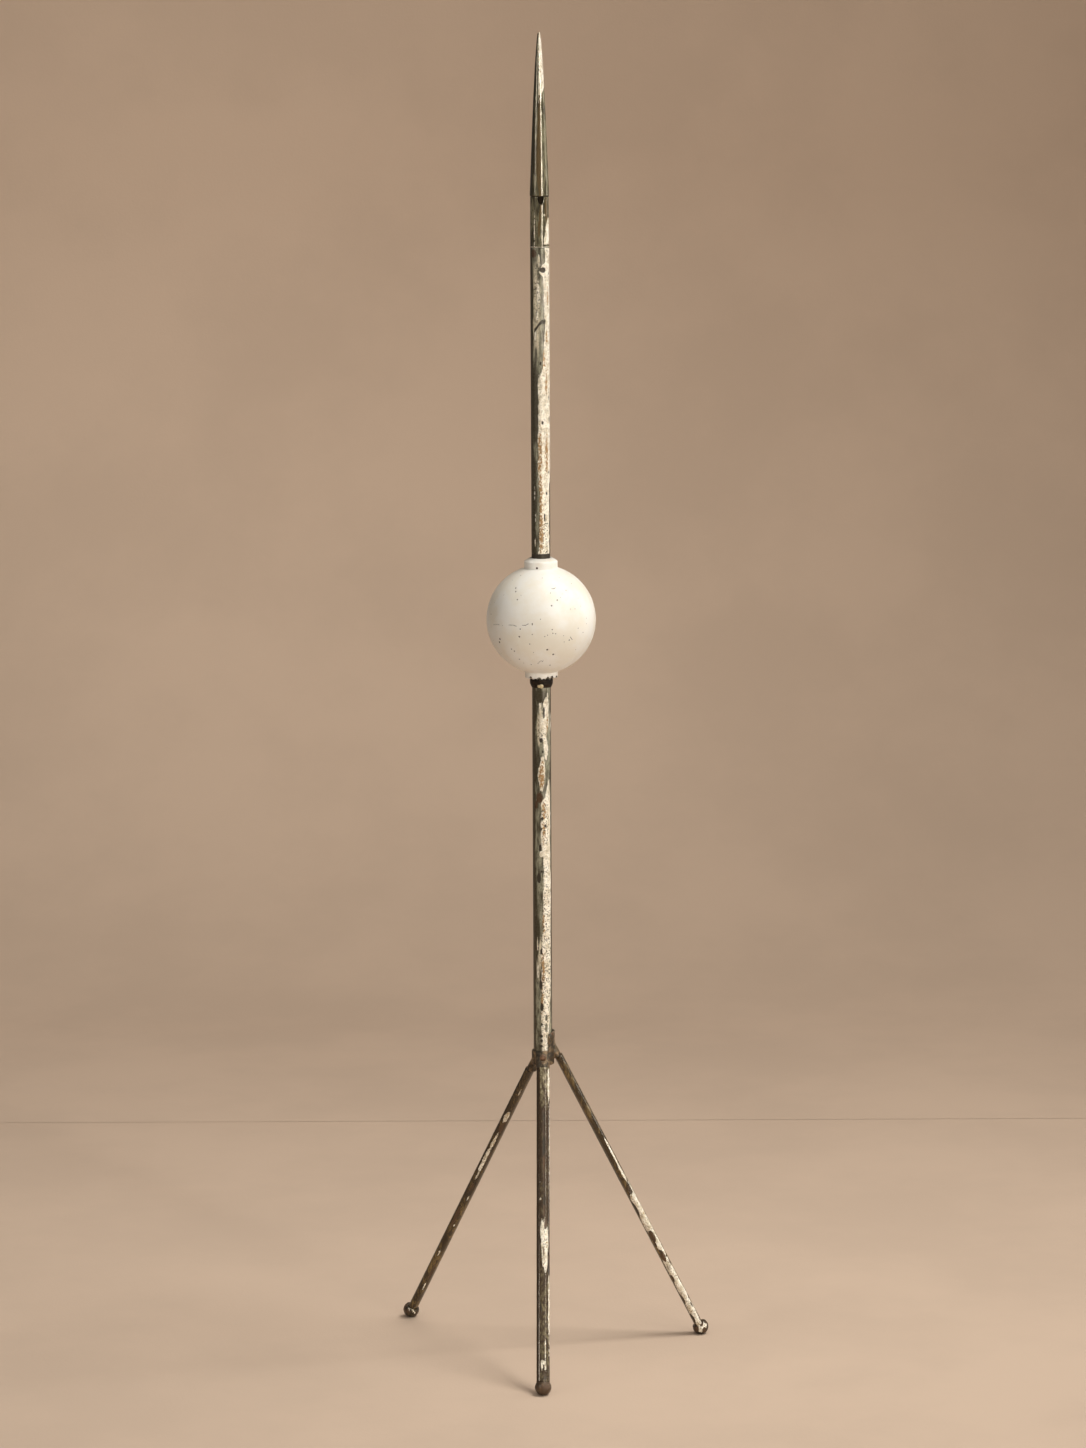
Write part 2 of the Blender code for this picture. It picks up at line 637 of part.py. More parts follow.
front_height = HEAD_FOOT_HEIGHT + RIVET_FRONT_HEIGHT
saddle_height = HEAD_FOOT_HEIGHT + RIVET_SADDLE_HEIGHT
saddle_seat = SADDLE_RADIUS - RIVET_SADDLE_SINK
drill_end = SADDLE_RADIUS + TUBE_RADIUS
pin_reach = CUP_MOUTH_DIAMETER
front_drill = hole_cutter(
    "front_drill", -90, front_height, RIVET_FRONT_SHANK / 2 + HOLE_CLEARANCE, TUBE_BORE_RADIUS / 2, drill_end
)
front_spot = hole_cutter(
    "front_spot",
    -90,
    front_height,
    RIVET_FRONT_HEAD / 2 + HOLE_CLEARANCE,
    RIVET_FRONT_SEAT - FIT_GAP,
    drill_end,
)
saddle_drill = hole_cutter(
    "saddle_drill",
    RIVET_SADDLE_AZIMUTH,
    saddle_height,
    RIVET_SADDLE_SHANK / 2 + HOLE_CLEARANCE,
    TUBE_BORE_RADIUS / 2,
    drill_end,
)
saddle_spot = hole_cutter(
    "saddle_spot",
    RIVET_SADDLE_AZIMUTH,
    saddle_height,
    RIVET_SADDLE_HEAD / 2 + HOLE_CLEARANCE,
    saddle_seat - FIT_GAP,
    drill_end,
)
pin_drill = hole_cutter(
    "pin_drill", -90, pin_height(), PIN_DIAMETER / 2 + HOLE_CLEARANCE, -pin_reach, pin_reach
)

make_point()
make_ferrule()
make_tube([front_drill, saddle_drill, pin_drill])
make_ball()
make_cup(pin_drill)
make_pin()
make_head([front_drill, front_spot, saddle_drill, saddle_spot])
make_rivet(
    "rivet_front", -90, front_height, RIVET_FRONT_HEAD, RIVET_FRONT_DOME, RIVET_FRONT_SHANK, RIVET_FRONT_SEAT
)
make_rivet(
    "rivet_saddle",
    RIVET_SADDLE_AZIMUTH,
    saddle_height,
    RIVET_SADDLE_HEAD,
    RIVET_SADDLE_DOME,
    RIVET_SADDLE_SHANK,
    saddle_seat,
)
for leg_name, leg_sizes in LEGS.items():
    make_leg(leg_name, leg_sizes)
    make_foot(leg_name, leg_sizes)
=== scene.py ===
import math
import random

import bmesh
import bpy
import numpy as np
from mathutils import Matrix, Vector, noise


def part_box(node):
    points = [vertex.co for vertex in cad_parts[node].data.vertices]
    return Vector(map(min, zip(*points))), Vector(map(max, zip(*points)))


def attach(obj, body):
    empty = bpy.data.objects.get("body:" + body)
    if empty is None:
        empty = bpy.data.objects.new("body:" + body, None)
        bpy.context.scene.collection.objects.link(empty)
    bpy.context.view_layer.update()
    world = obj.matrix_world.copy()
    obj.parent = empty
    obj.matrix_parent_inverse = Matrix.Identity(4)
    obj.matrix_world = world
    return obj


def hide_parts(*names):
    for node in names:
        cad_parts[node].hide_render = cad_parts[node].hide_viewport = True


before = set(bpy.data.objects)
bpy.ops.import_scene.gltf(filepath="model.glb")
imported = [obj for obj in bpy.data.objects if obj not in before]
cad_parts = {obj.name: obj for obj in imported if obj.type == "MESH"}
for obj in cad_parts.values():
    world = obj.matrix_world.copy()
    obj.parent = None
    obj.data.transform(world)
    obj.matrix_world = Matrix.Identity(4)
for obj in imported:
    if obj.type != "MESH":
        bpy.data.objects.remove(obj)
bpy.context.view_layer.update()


# Studio: the rod stands on a plain pale sheet that sweeps up behind it. A narrow key lamp hangs high
# on the right, tall strips light the front and the right edge, a weak lamp fills the left, a broad one
# overhead brightens the floor, and a spot that misses the rod puts a soft glow on the wall.

CAMERA_DISTANCE = 5.5
CAMERA_ASIDE = 0.0015
CAMERA_HEIGHT = 1.6815
CAMERA_PITCH = math.radians(10.261)
CAMERA_ROLL = math.radians(-0.238)
CAMERA_LENS = 130.6
SHEET_COLOUR = (0.6, 0.455, 0.338)
SHEET_HALF_WIDTH = 1.5
SHEET_LIFT = 0.0003
FLOOR_REACH = 7.0
SHEET_LEAD = 0.5
SHEET_BEND = 1.5
SHEET_BEND_RADIUS = 1.1
SHEET_HEIGHT = 6.0
ROOM_COLOUR = (1.0, 0.95, 0.89)
ROOM_DIM = 0.14
ROOM_OVERHEAD = 0.56
ROOM_FRONT = 0.17
LAMP_WARM = (1.0, 0.985, 0.95)
LAMP_WHITE = (1.0, 0.99, 0.97)
LAMP_GLOW = (1.0, 0.96, 0.91)

tube_low, tube_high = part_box("rod_tube")
rod_axis = Vector(((tube_low.x + tube_high.x) / 2, (tube_low.y + tube_high.y) / 2, 0.0))


def add_camera():
    """Stands in front of the rod, a little above its middle, looking slightly down."""
    level = Vector((1, 0, 0))
    forward = Vector((0, math.cos(CAMERA_PITCH), -math.sin(CAMERA_PITCH)))
    up = level.cross(forward)
    right = level * math.cos(CAMERA_ROLL) + up * math.sin(CAMERA_ROLL)
    up = up * math.cos(CAMERA_ROLL) - level * math.sin(CAMERA_ROLL)
    lens = bpy.data.cameras.new("camera")
    lens.lens = CAMERA_LENS
    lens.sensor_width = 36.0
    lens.clip_end = 60.0
    camera = bpy.data.objects.new("camera", lens)
    turn = Matrix((right, up, -forward)).transposed().to_4x4()
    place = rod_axis + Vector((CAMERA_ASIDE, -CAMERA_DISTANCE, CAMERA_HEIGHT))
    camera.matrix_world = Matrix.Translation(place) @ turn
    bpy.context.scene.collection.objects.link(camera)
    bpy.context.scene.camera = camera
    return right, up, -forward


def add_light(name, place, target, width, height, power, colour, spread=180.0):
    """A lamp that faces its target; spread is the full angle of its beam, and 0 wide makes it a spot."""
    lamp = bpy.data.lights.new(name, "AREA" if width else "SPOT")
    lamp.energy = power
    lamp.color = colour
    if width:
        lamp.shape = "RECTANGLE"
        lamp.size = width
        lamp.size_y = height
        lamp.spread = math.radians(spread)
    else:
        lamp.shadow_soft_size = height
        lamp.spot_size = math.radians(spread)
        lamp.spot_blend = 1.0
    light = bpy.data.objects.new(name, lamp)
    light.location = place
    light.rotation_euler = (Vector(target) - Vector(place)).to_track_quat("-Z", "Y").to_euler()
    bpy.context.scene.collection.objects.link(light)


def new_material(name):
    """An empty Principled material, with its tree and its shader."""
    made = bpy.data.materials.new(name)
    made.use_nodes = True
    return made, made.node_tree, made.node_tree.nodes["Principled BSDF"]


def join(tree, value, socket):
    """Sets a socket to a number or colour, or links it to another socket."""
    if isinstance(value, bpy.types.NodeSocket):
        tree.links.new(value, socket)
    elif isinstance(value, tuple) and len(value) == 3 and len(socket.default_value) == 4:
        socket.default_value = (*value, 1.0)
    else:
        socket.default_value = value


def set_inputs(tree, shader, **values):
    """Sets or links inputs by name, with _ for a space."""
    for name, value in values.items():
        join(tree, value, shader.inputs[name.replace("_", " ")])


def calc(tree, operation, *values):
    made = tree.nodes.new("ShaderNodeMath")
    made.operation = operation
    for value, socket in zip(values, made.inputs):
        join(tree, value, socket)
    return made.outputs[0]


def cover(tree, colour, *coats):
    """Lays each coat, a share and a colour, over what is there."""
    for share, coat in coats:
        made = tree.nodes.new("ShaderNodeMix")
        made.data_type = "RGBA"
        join(tree, share, made.inputs["Factor"])
        join(tree, colour, made.inputs[6])
        join(tree, coat, made.inputs[7])
        colour = made.outputs[2]
    return colour


def band(tree, value, low, high):
    """0 below low and 1 above high, with a soft step between."""
    made = tree.nodes.new("ShaderNodeMapRange")
    made.interpolation_type = "SMOOTHSTEP"
    join(tree, value, made.inputs["Value"])
    made.inputs["From Min"].default_value = low
    made.inputs["From Max"].default_value = high
    return made.outputs["Result"]


def grain(tree, size, detail=3.0, stretch=(1.0, 1.0, 1.0), seed=0.0):
    """Noise about the object's own place, 0.5 on average; size is that of its lumps, in metres."""
    place = tree.nodes.new("ShaderNodeTexCoord")
    scaled = tree.nodes.new("ShaderNodeMapping")
    scaled.inputs["Scale"].default_value = stretch
    scaled.inputs["Location"].default_value = (seed, seed * 0.7, seed * 1.3)
    made = tree.nodes.new("ShaderNodeTexNoise")
    made.inputs["Scale"].default_value = 1.0 / size
    made.inputs["Detail"].default_value = detail
    made.inputs["Roughness"].default_value = 0.6
    tree.links.new(place.outputs["Object"], scaled.inputs["Vector"])
    tree.links.new(scaled.outputs["Vector"], made.inputs["Vector"])
    return made.outputs["Fac"]


def warm_sheen(tree, shader, specular=0.85):
    """Old paint and rust reflect a little less than fresh paint, and warmly."""
    set_inputs(tree, shader, Specular_IOR_Level=specular, Specular_Tint=(1.0, 0.87, 0.7))


def bump(tree, shader, height, depth):
    """Relief in the finish; depth is what a height of 1 stands for, in metres."""
    made = tree.nodes.new("ShaderNodeBump")
    made.inputs["Distance"].default_value = depth
    join(tree, height, made.inputs["Height"])
    tree.links.new(made.outputs["Normal"], shader.inputs["Normal"])


def make_sheet():
    """A wide floor, and a narrower sheet that lies on it and sweeps up behind the rod."""
    floor = [(-FLOOR_REACH, 0.0), (FLOOR_REACH, 0.0)]
    sweep = [(SHEET_BEND - SHEET_LEAD, SHEET_LIFT), (SHEET_BEND, SHEET_LIFT)]
    for i in range(1, 25):
        angle = math.radians(90 * i / 24)
        across = SHEET_BEND + SHEET_BEND_RADIUS * math.sin(angle)
        sweep.append((across, SHEET_LIFT + SHEET_BEND_RADIUS * (1 - math.cos(angle))))
    sweep.append((SHEET_BEND + SHEET_BEND_RADIUS, SHEET_HEIGHT))
    points = [(side, y, z) for y, z in floor for side in (-FLOOR_REACH, FLOOR_REACH)]
    points += [(side, y, z) for y, z in sweep for side in (-SHEET_HALF_WIDTH, SHEET_HALF_WIDTH)]
    faces = [(2 * i, 2 * i + 1, 2 * i + 3, 2 * i + 2) for i in range(len(points) // 2 - 1) if i != 1]
    mesh = bpy.data.meshes.new("sheet")
    mesh.from_pydata(points, [], faces)
    mesh.shade_smooth()
    sheet = bpy.data.objects.new("sheet", mesh)
    bpy.context.scene.collection.objects.link(sheet)
    look, tree, shader = new_material("sheet")
    shade = tuple(part * 0.93 for part in SHEET_COLOUR)
    tone = band(tree, grain(tree, 0.35, 5.0), 0.35, 0.65)
    set_inputs(tree, shader, Base_Color=cover(tree, shade, (tone, SHEET_COLOUR)), Roughness=0.9)
    bump(tree, shader, grain(tree, 0.004), 0.0002)
    mesh.materials.append(look)


def make_room():
    """A dim room, brighter overhead and in front, and darkest on the left."""
    world = bpy.data.worlds.new("studio")
    world.use_nodes = True
    tree = world.node_tree
    place = tree.nodes.new("ShaderNodeTexCoord")
    split = tree.nodes.new("ShaderNodeSeparateXYZ")
    tree.links.new(place.outputs["Generated"], split.inputs[0])
    right, back, top = split.outputs
    side = band(tree, right, -0.9, 0.4)
    overhead = calc(tree, "MULTIPLY", band(tree, top, -0.1, 0.8), ROOM_OVERHEAD)
    front = calc(tree, "MULTIPLY", calc(tree, "SUBTRACT", 1.0, band(tree, back, -0.8, 0.2)), ROOM_FRONT)
    lit = calc(tree, "MULTIPLY_ADD", calc(tree, "ADD", overhead, front), side, ROOM_DIM)
    background = tree.nodes["Background"]
    join(tree, ROOM_COLOUR, background.inputs["Color"])
    join(tree, lit, background.inputs["Strength"])
    bpy.context.scene.world = world


view_right, view_up, view_back = add_camera()
make_sheet()
add_light("key", (1.7, -2.35, 2.72), (0.0, 0.05, 0.7), 0.16, 1.4, 3.5, LAMP_WARM, 110.0)
add_light("strip", (1.75, -2.75, 1.06), (0.0, 0.0, 0.9), 0.24, 2.1, 3.3, LAMP_WARM, 36.0)
add_light("edge", (2.6, 0.6, 1.3), (0.0, 0.0, 0.8), 0.2, 2.4, 2.0, LAMP_WHITE, 60.0)
add_light("fill", (-2.6, -1.9, 1.5), (0.0, 0.0, 0.7), 0.8, 0.3, 1.5, LAMP_WHITE, 60.0)
add_light("floor", (1.8, -0.2, 4.2), (0.1, -0.1, 0.0), 1.5, 1.5, 14.5, LAMP_WHITE, 62.0)
add_light("glow", (-0.35, -0.4, 4.6), (-0.12, 2.6, 1.0), 0.0, 0.4, 205.0, LAMP_GLOW, 32.0)
make_room()
bpy.context.scene.view_settings.view_transform = "Standard"


# Tripod head: one iron casting, a short collar around the tube with a boss for each leg and a tall
# saddle up the right side. Its paint is gone and it has rusted brown, redder where water stood.

HEAD_CELL = 0.00052
HEAD_ROUGHNESS = 0.00016
RUST_BROWN = (0.205, 0.132, 0.066)
RUST_DARK = (0.012, 0.008, 0.004)
RUST_RED = (0.15, 0.078, 0.034)
RUST_TAN = (0.36, 0.27, 0.17)


def add_piece(name, mesh, look, node):
    """Makes a piece of a mesh, in the place of one node of the CAD."""
    piece = bpy.data.objects.new(name, mesh)
    bpy.context.scene.collection.objects.link(piece)
    mesh.materials.clear()
    mesh.materials.append(look)
    mesh.shade_smooth()
    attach(piece, "root")
    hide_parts(node)


def coordinates(mesh, kind="co"):
    """The place of each point of a mesh, or its normal, as rows of three."""
    flat = np.empty(len(mesh.vertices) * 3)
    mesh.vertices.foreach_get(kind, flat)
    return flat.reshape(-1, 3)


def move_points(mesh, points):
    mesh.vertices.foreach_set("co", points.ravel())
    mesh.update()


def set_layers(mesh, **layers):
    """Stores numbers on each point of a mesh, for its material to read."""
    for name, values in layers.items():
        stored = mesh.attributes.get(name) or mesh.attributes.new(name, "FLOAT", "POINT")
        stored.data.foreach_set("value", np.full(len(mesh.vertices), values, np.float32))


def layer(tree, name):
    made = tree.nodes.new("ShaderNodeAttribute")
    made.attribute_name = name
    return made.outputs["Fac"]


def lumps(points, size, seed, octaves=3, stretch=1.0):
    """Noise from about -1 to 1 at each point; stretch draws its lumps out along Z."""
    scaled = points / np.array((size, size, size * stretch)) + np.array((7.31, 3.17, 5.53)) * seed
    return np.array([noise.fractal(point, 1.0, 2.0, octaves) for point in scaled])


def soft_step(values, low, high):
    share = np.clip((values - low) / (high - low), 0.0, 1.0)
    return share * share * (3.0 - 2.0 * share)


def mixed(share, first, second):
    return (1 - share) * first + share * second


def even_copy(name, cell):
    """A copy of a CAD node with small even faces, its edges slightly eased."""
    shape = bmesh.new()
    shape.from_mesh(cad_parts[name].data)
    bmesh.ops.remove_doubles(shape, verts=shape.verts, dist=0.000002)
    mesh = bpy.data.meshes.new(name)
    shape.to_mesh(mesh)
    shape.free()
    rough = bpy.data.objects.new(name, mesh)
    bpy.context.scene.collection.objects.link(rough)
    remesh = rough.modifiers.new("even_faces", "REMESH")
    remesh.mode = "VOXEL"
    remesh.voxel_size = cell
    ease = rough.modifiers.new("ease", "SMOOTH")
    ease.factor = 0.5
    ease.iterations = 3
    evaluated = rough.evaluated_get(bpy.context.evaluated_depsgraph_get())
    even = bpy.data.meshes.new_from_object(evaluated)
    bpy.data.objects.remove(rough, do_unlink=True)
    return even


def cast_iron(name, seed, brown=RUST_BROWN, dark=RUST_DARK, red=RUST_RED, tan=RUST_TAN, specular=0.85):
    """Rusted casting: brown with darker hollows, red spots and tan bloom."""
    look, tree, shader = new_material(name)
    tone = band(tree, grain(tree, 0.006, 4.0, seed=seed), 0.38, 0.62)
    specks = band(tree, grain(tree, 0.0032, 3.0, seed=seed + 3.1), 0.6, 0.7)
    bloom = band(tree, grain(tree, 0.0026, 4.0, seed=seed + 5.7), 0.58, 0.68)
    worn = band(tree, tree.nodes.new("ShaderNodeNewGeometry").outputs["Pointiness"], 0.53, 0.6)
    hollow = band(tree, layer(tree, "hollow"), 0.2, 0.9)
    colour = cover(tree, dark, (tone, brown), (specks, red), (bloom, tan),
                   (calc(tree, "MULTIPLY", worn, 0.6), tan), (hollow, dark))
    fine = grain(tree, 0.0008, 3.0, seed=seed)
    rough = calc(tree, "MULTIPLY_ADD", fine, 0.35, 0.27)
    set_inputs(tree, shader, Base_Color=colour, Roughness=rough, Metallic=0.15)
    warm_sheen(tree, shader, specular)
    bump(tree, shader, fine, 0.0003)
    return look


def roughen(mesh, depth, seed):
    """Gives a casting its uneven skin, always inwards, and marks the hollows."""
    points = coordinates(mesh)
    coarse = lumps(points, 0.006, seed)
    fine = lumps(points, 0.0016, seed + 2, 2)
    sink = soft_step(0.7 * coarse + 0.5 * fine, -0.6, 0.6)
    move_points(mesh, points - coordinates(mesh, "normal") * (sink * depth)[:, None])
    set_layers(mesh, hollow=sink)


head_mesh = even_copy("tripod_head", HEAD_CELL)
roughen(head_mesh, HEAD_ROUGHNESS, 1)
add_piece("tripod_head_casting", head_mesh, cast_iron("head_iron", 1.0), "tripod_head")


# Rivets: two round heads, hammered over through the casting and the tube. Both have kept a coppery
# brown face, with a dark ring in it.

RIVET_CELL = 0.00018
RIVET_ROUGHNESS = 0.00006
RIVET_RING = 0.0023
RIVET_COPPER = (0.25, 0.125, 0.066)
RIVET_DARK = (0.06, 0.03, 0.018)
RIVET_PALE = (0.42, 0.27, 0.17)
rivet_look = cast_iron("rivet_metal", 2.0, brown=RIVET_COPPER, dark=RIVET_DARK, tan=RIVET_PALE)
for count, name in enumerate(("rivet_front", "rivet_saddle")):
    rivet_mesh = even_copy(name, RIVET_CELL)
    roughen(rivet_mesh, RIVET_ROUGHNESS, 3 + count)
    low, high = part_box(name)
    off = coordinates(rivet_mesh) - np.array((low + high) / 2)
    ring = np.abs(np.hypot(off[:, 0], off[:, 2]) - RIVET_RING) * 1000
    set_layers(rivet_mesh, hollow=0.9 * soft_step(0.75 - ring, 0.0, 0.5))
    add_piece(name + "_head", rivet_mesh, rivet_look, name)


# Legs: three straight bars of oval iron, set into the bosses. A brown or olive coat lies over the iron and
# scraps of a cream coat over that, most of it worn off in long flakes.

LEG_WIDTH = 0.0143
LEG_THICKNESS = 0.0092
LEG_ROWS = 250
LEG_SIDES = 72
LEG_RELIEF = 0.00022
LEG_DENT_SCALE = 70.0
LEG_GLOSS = 0.12
OUTSIDE = -9.0
CREAM = (0.88, 0.82, 0.69)
CREAM_DIM = (0.62, 0.54, 0.39)
OCHRE = (0.35, 0.2, 0.076)
COAT = (0.3, 0.29, 0.205)
COAT_DARK_AND_SHADE = (0.034, 0.03, 0.017)
BARE = (0.01, 0.007, 0.004)
RUST = (0.07, 0.032, 0.013)
RUST_DEEP = (0.06, 0.03, 0.015)
LEG_COATS = {
    "front": ((0.25, 0.21, 0.115), (0.034, 0.018, 0.008)),
    "left": ((0.17, 0.112, 0.04), (0.014, 0.008, 0.003)),
    "right": ((0.23, 0.15, 0.056), (0.03, 0.019, 0.008)),
}
# How dark the older coat is all along each leg, and how much of that is lost toward the foot.
LEG_GRIME = {"front": (0.72, 0.25), "left": (0.45, 0.1), "right": (0.55, 0.4)}
FOOT_COATS = {
    "front": ((0.34, 0.19, 0.095), (0.04, 0.021, 0.01)),
    "left": ((0.21, 0.15, 0.066), (0.018, 0.012, 0.006)),
    "right": ((0.13, 0.09, 0.046), (0.015, 0.01, 0.006)),
}

# Where cream paint is left on each leg, and where it is chipped to the iron: millimetres down from
# the boss, millimetres to the right of the leg's middle as seen from the front, half width, half length.
LEG_CREAM = {
    # On the front leg, the thin cream line down the right limb, 5.4 to 5.9 mm across, is partly paint and
    # partly a painted rim highlight.
    "front": [(22, 5.4, 1.2, 21), (85, 5.9, 1.3, 84), (126, -3.7, 0.8, 1.2), (144, -3.4, 0.8, 1.2),
              (191, 1.8, 4.4, 27), (178, -1.6, 2.0, 13), (210, 3.0, 2.8, 14), (266, 5.6, 1.1, 46),
              (323, -1.6, 1.5, 6), (320, 0.6, 2.6, 2.2), (323, 2.8, 1.3, 6), (306, 2.8, 0.9, 12)],
    "left": [(65, 0.2, 2.6, 8), (98, -0.6, 1.5, 12), (124, -1.0, 1.7, 18), (143, -0.5, 1.0, 8),
             (30, 1.0, 0.8, 5), (178, 1.4, 0.7, 3), (216, 0.8, 0.8, 2), (258, -0.6, 0.7, 4),
             (305, 0.9, 0.8, 6)],
    "right": [(126, 2.8, 1.4, 22), (150, 2.4, 1.5, 14), (187, 0.8, 3.4, 12),
              (214, 0.8, 4.6, 22), (244, 2.0, 3.0, 16), (276, 0.8, 4.4, 20), (300, 0.6, 4.6, 20),
              (328, 0.6, 4.4, 20), (348, 0.6, 3.4, 10), (200, 4.0, 1.4, 50)],
}
LEG_CHIPS = {
    "front": [(171, 3.0, 1.9, 6.0), (201, 0.8, 0.7, 6.5), (215, 5.6, 2.0, 11), (92, 1.0, 1.5, 50),
              (150, 1.4, 1.2, 16), (265, -3.0, 1.2, 9), (335, 2.6, 1.6, 5)],
    "left": [(78, 1.0, 3.0, 8), (112, 2.4, 1.3, 16), (165, 0.5, 2.2, 10), (205, -1.5, 1.6, 14),
             (282, 1.4, 1.6, 12)],
    "right": [(95, -4.2, 1.5, 92), (196, -2.8, 2.0, 10), (231, -0.6, 2.6, 8), (257, -0.2, 2.4, 7.5),
              (286, -2.2, 1.5, 5), (313, -2.8, 1.5, 6), (338, -2.6, 1.6, 6), (322, 2.9, 1.0, 3.5),
              (172, 0.8, 1.4, 5), (268, 3.4, 0.9, 3)],
}


def leg_nodes():
    """An oval bar about the origin, along Z, slightly dented by hammer and rust."""
    tree = bpy.data.node_groups.new("oval_bar", "GeometryNodeTree")
    tree.interface.new_socket("Bar", in_out="OUTPUT", socket_type="NodeSocketGeometry")
    for name in ("Length", "Width", "Thickness", "Relief", "Seed"):
        tree.interface.new_socket(name, in_out="INPUT", socket_type="NodeSocketFloat")
    tree.interface.new_socket("Finish", in_out="INPUT", socket_type="NodeSocketMaterial")
    kinds = {
        "given": "NodeGroupInput", "bar": "GeometryNodeMeshCylinder", "oval": "ShaderNodeCombineXYZ",
        "squeeze": "GeometryNodeTransform", "dents": "ShaderNodeTexNoise", "depth": "ShaderNodeMath",
        "sink": "ShaderNodeMath", "outward": "GeometryNodeInputNormal", "push": "ShaderNodeVectorMath",
        "move": "GeometryNodeSetPosition", "real": "GeometryNodeRealizeInstances",
        "paint": "GeometryNodeSetMaterial", "result": "NodeGroupOutput",
    }
    made = {name: tree.nodes.new(kind) for name, kind in kinds.items()}
    made["dents"].noise_dimensions = "4D"
    made["depth"].operation = made["sink"].operation = "MULTIPLY"
    made["push"].operation = "SCALE"
    for name, socket, value in (
        ("bar", "Vertices", LEG_SIDES), ("bar", "Side Segments", LEG_ROWS), ("bar", "Radius", 0.5),
        ("oval", "Z", 1.0), ("dents", "Scale", LEG_DENT_SCALE), ("dents", "Detail", 3.0), ("sink", 1, -1.0),
    ):
        made[name].inputs[socket].default_value = value
    for start, output, end, socket in (
        ("given", "Length", "bar", "Depth"), ("given", "Width", "oval", "X"),
        ("given", "Thickness", "oval", "Y"), ("oval", "Vector", "squeeze", "Scale"),
        ("bar", "Mesh", "squeeze", "Geometry"), ("given", "Seed", "dents", "W"),
        ("dents", "Fac", "depth", 0), ("given", "Relief", "depth", 1), ("depth", 0, "sink", 0),
        ("outward", "Normal", "push", 0), ("sink", 0, "push", "Scale"),
        ("squeeze", "Geometry", "move", "Geometry"), ("push", "Vector", "move", "Offset"),
        ("move", "Geometry", "real", "Geometry"), ("real", "Geometry", "paint", "Geometry"),
        ("given", "Finish", "paint", "Material"), ("paint", "Geometry", "result", "Bar"),
    ):
        tree.links.new(made[start].outputs[output], made[end].inputs[socket])
    return tree


def run_nodes(tree, settings):
    """The mesh that a tree makes with these named inputs."""
    carrier = bpy.data.objects.new(tree.name, bpy.data.meshes.new(tree.name))
    bpy.context.scene.collection.objects.link(carrier)
    step = carrier.modifiers.new("make", "NODES")
    step.node_group = tree
    for item in tree.interface.items_tree:
        if item.in_out == "INPUT" and item.name in settings:
            step[item.identifier] = settings[item.name]
    evaluated = carrier.evaluated_get(bpy.context.evaluated_depsgraph_get())
    mesh = bpy.data.meshes.new_from_object(evaluated)
    carrier.modifiers.remove(step)
    bpy.data.objects.remove(carrier, do_unlink=True)
    return mesh


def round_the_bar(points, foot, up, toward):
    """For each point, its height along a bar in metres and its turn from the side that faces toward."""
    facing = (toward - up * toward.dot(up)).normalized()
    right = up.cross(facing)
    local = points - np.array(foot)
    along = local @ np.array(up)
    turn = np.arctan2(local @ np.array(right), local @ np.array(facing))
    return along, turn


def arc(across, radius):
    """How far round a bar, in millimetres, a spot lies that is seen this far from the bar's middle."""
    if abs(across) < radius:
        return radius * math.asin(across / radius)
    return math.copysign(radius * math.pi / 2 + abs(across) - radius, across)


def spots(down, around, marks, radius):
    """Inside a mark above 0, outside below 0, in millimetres; down and around are in millimetres too."""
    found = np.full(len(down), OUTSIDE)
    for mark_down, across, half_width, half_length in marks:
        far = np.hypot((around - arc(across, radius)) / half_width, (down - mark_down) / half_length)
        found = np.maximum(found, (1.0 - far) * min(half_width, half_length, 2.5) * 1.5)
    return found


def paint_relief(mesh, cream, bare, stand, sink, **layers):
    """Lets cream paint stand out and chips lie deeper, and stores what the paint reads."""
    height = stand * soft_step(cream, -0.2, 0.4) * (bare < 0.1) - sink * soft_step(bare, -0.2, 0.5)
    move_points(mesh, coordinates(mesh) + coordinates(mesh, "normal") * height[:, None])
    set_layers(mesh, cream=cream, bare=bare, **layers)


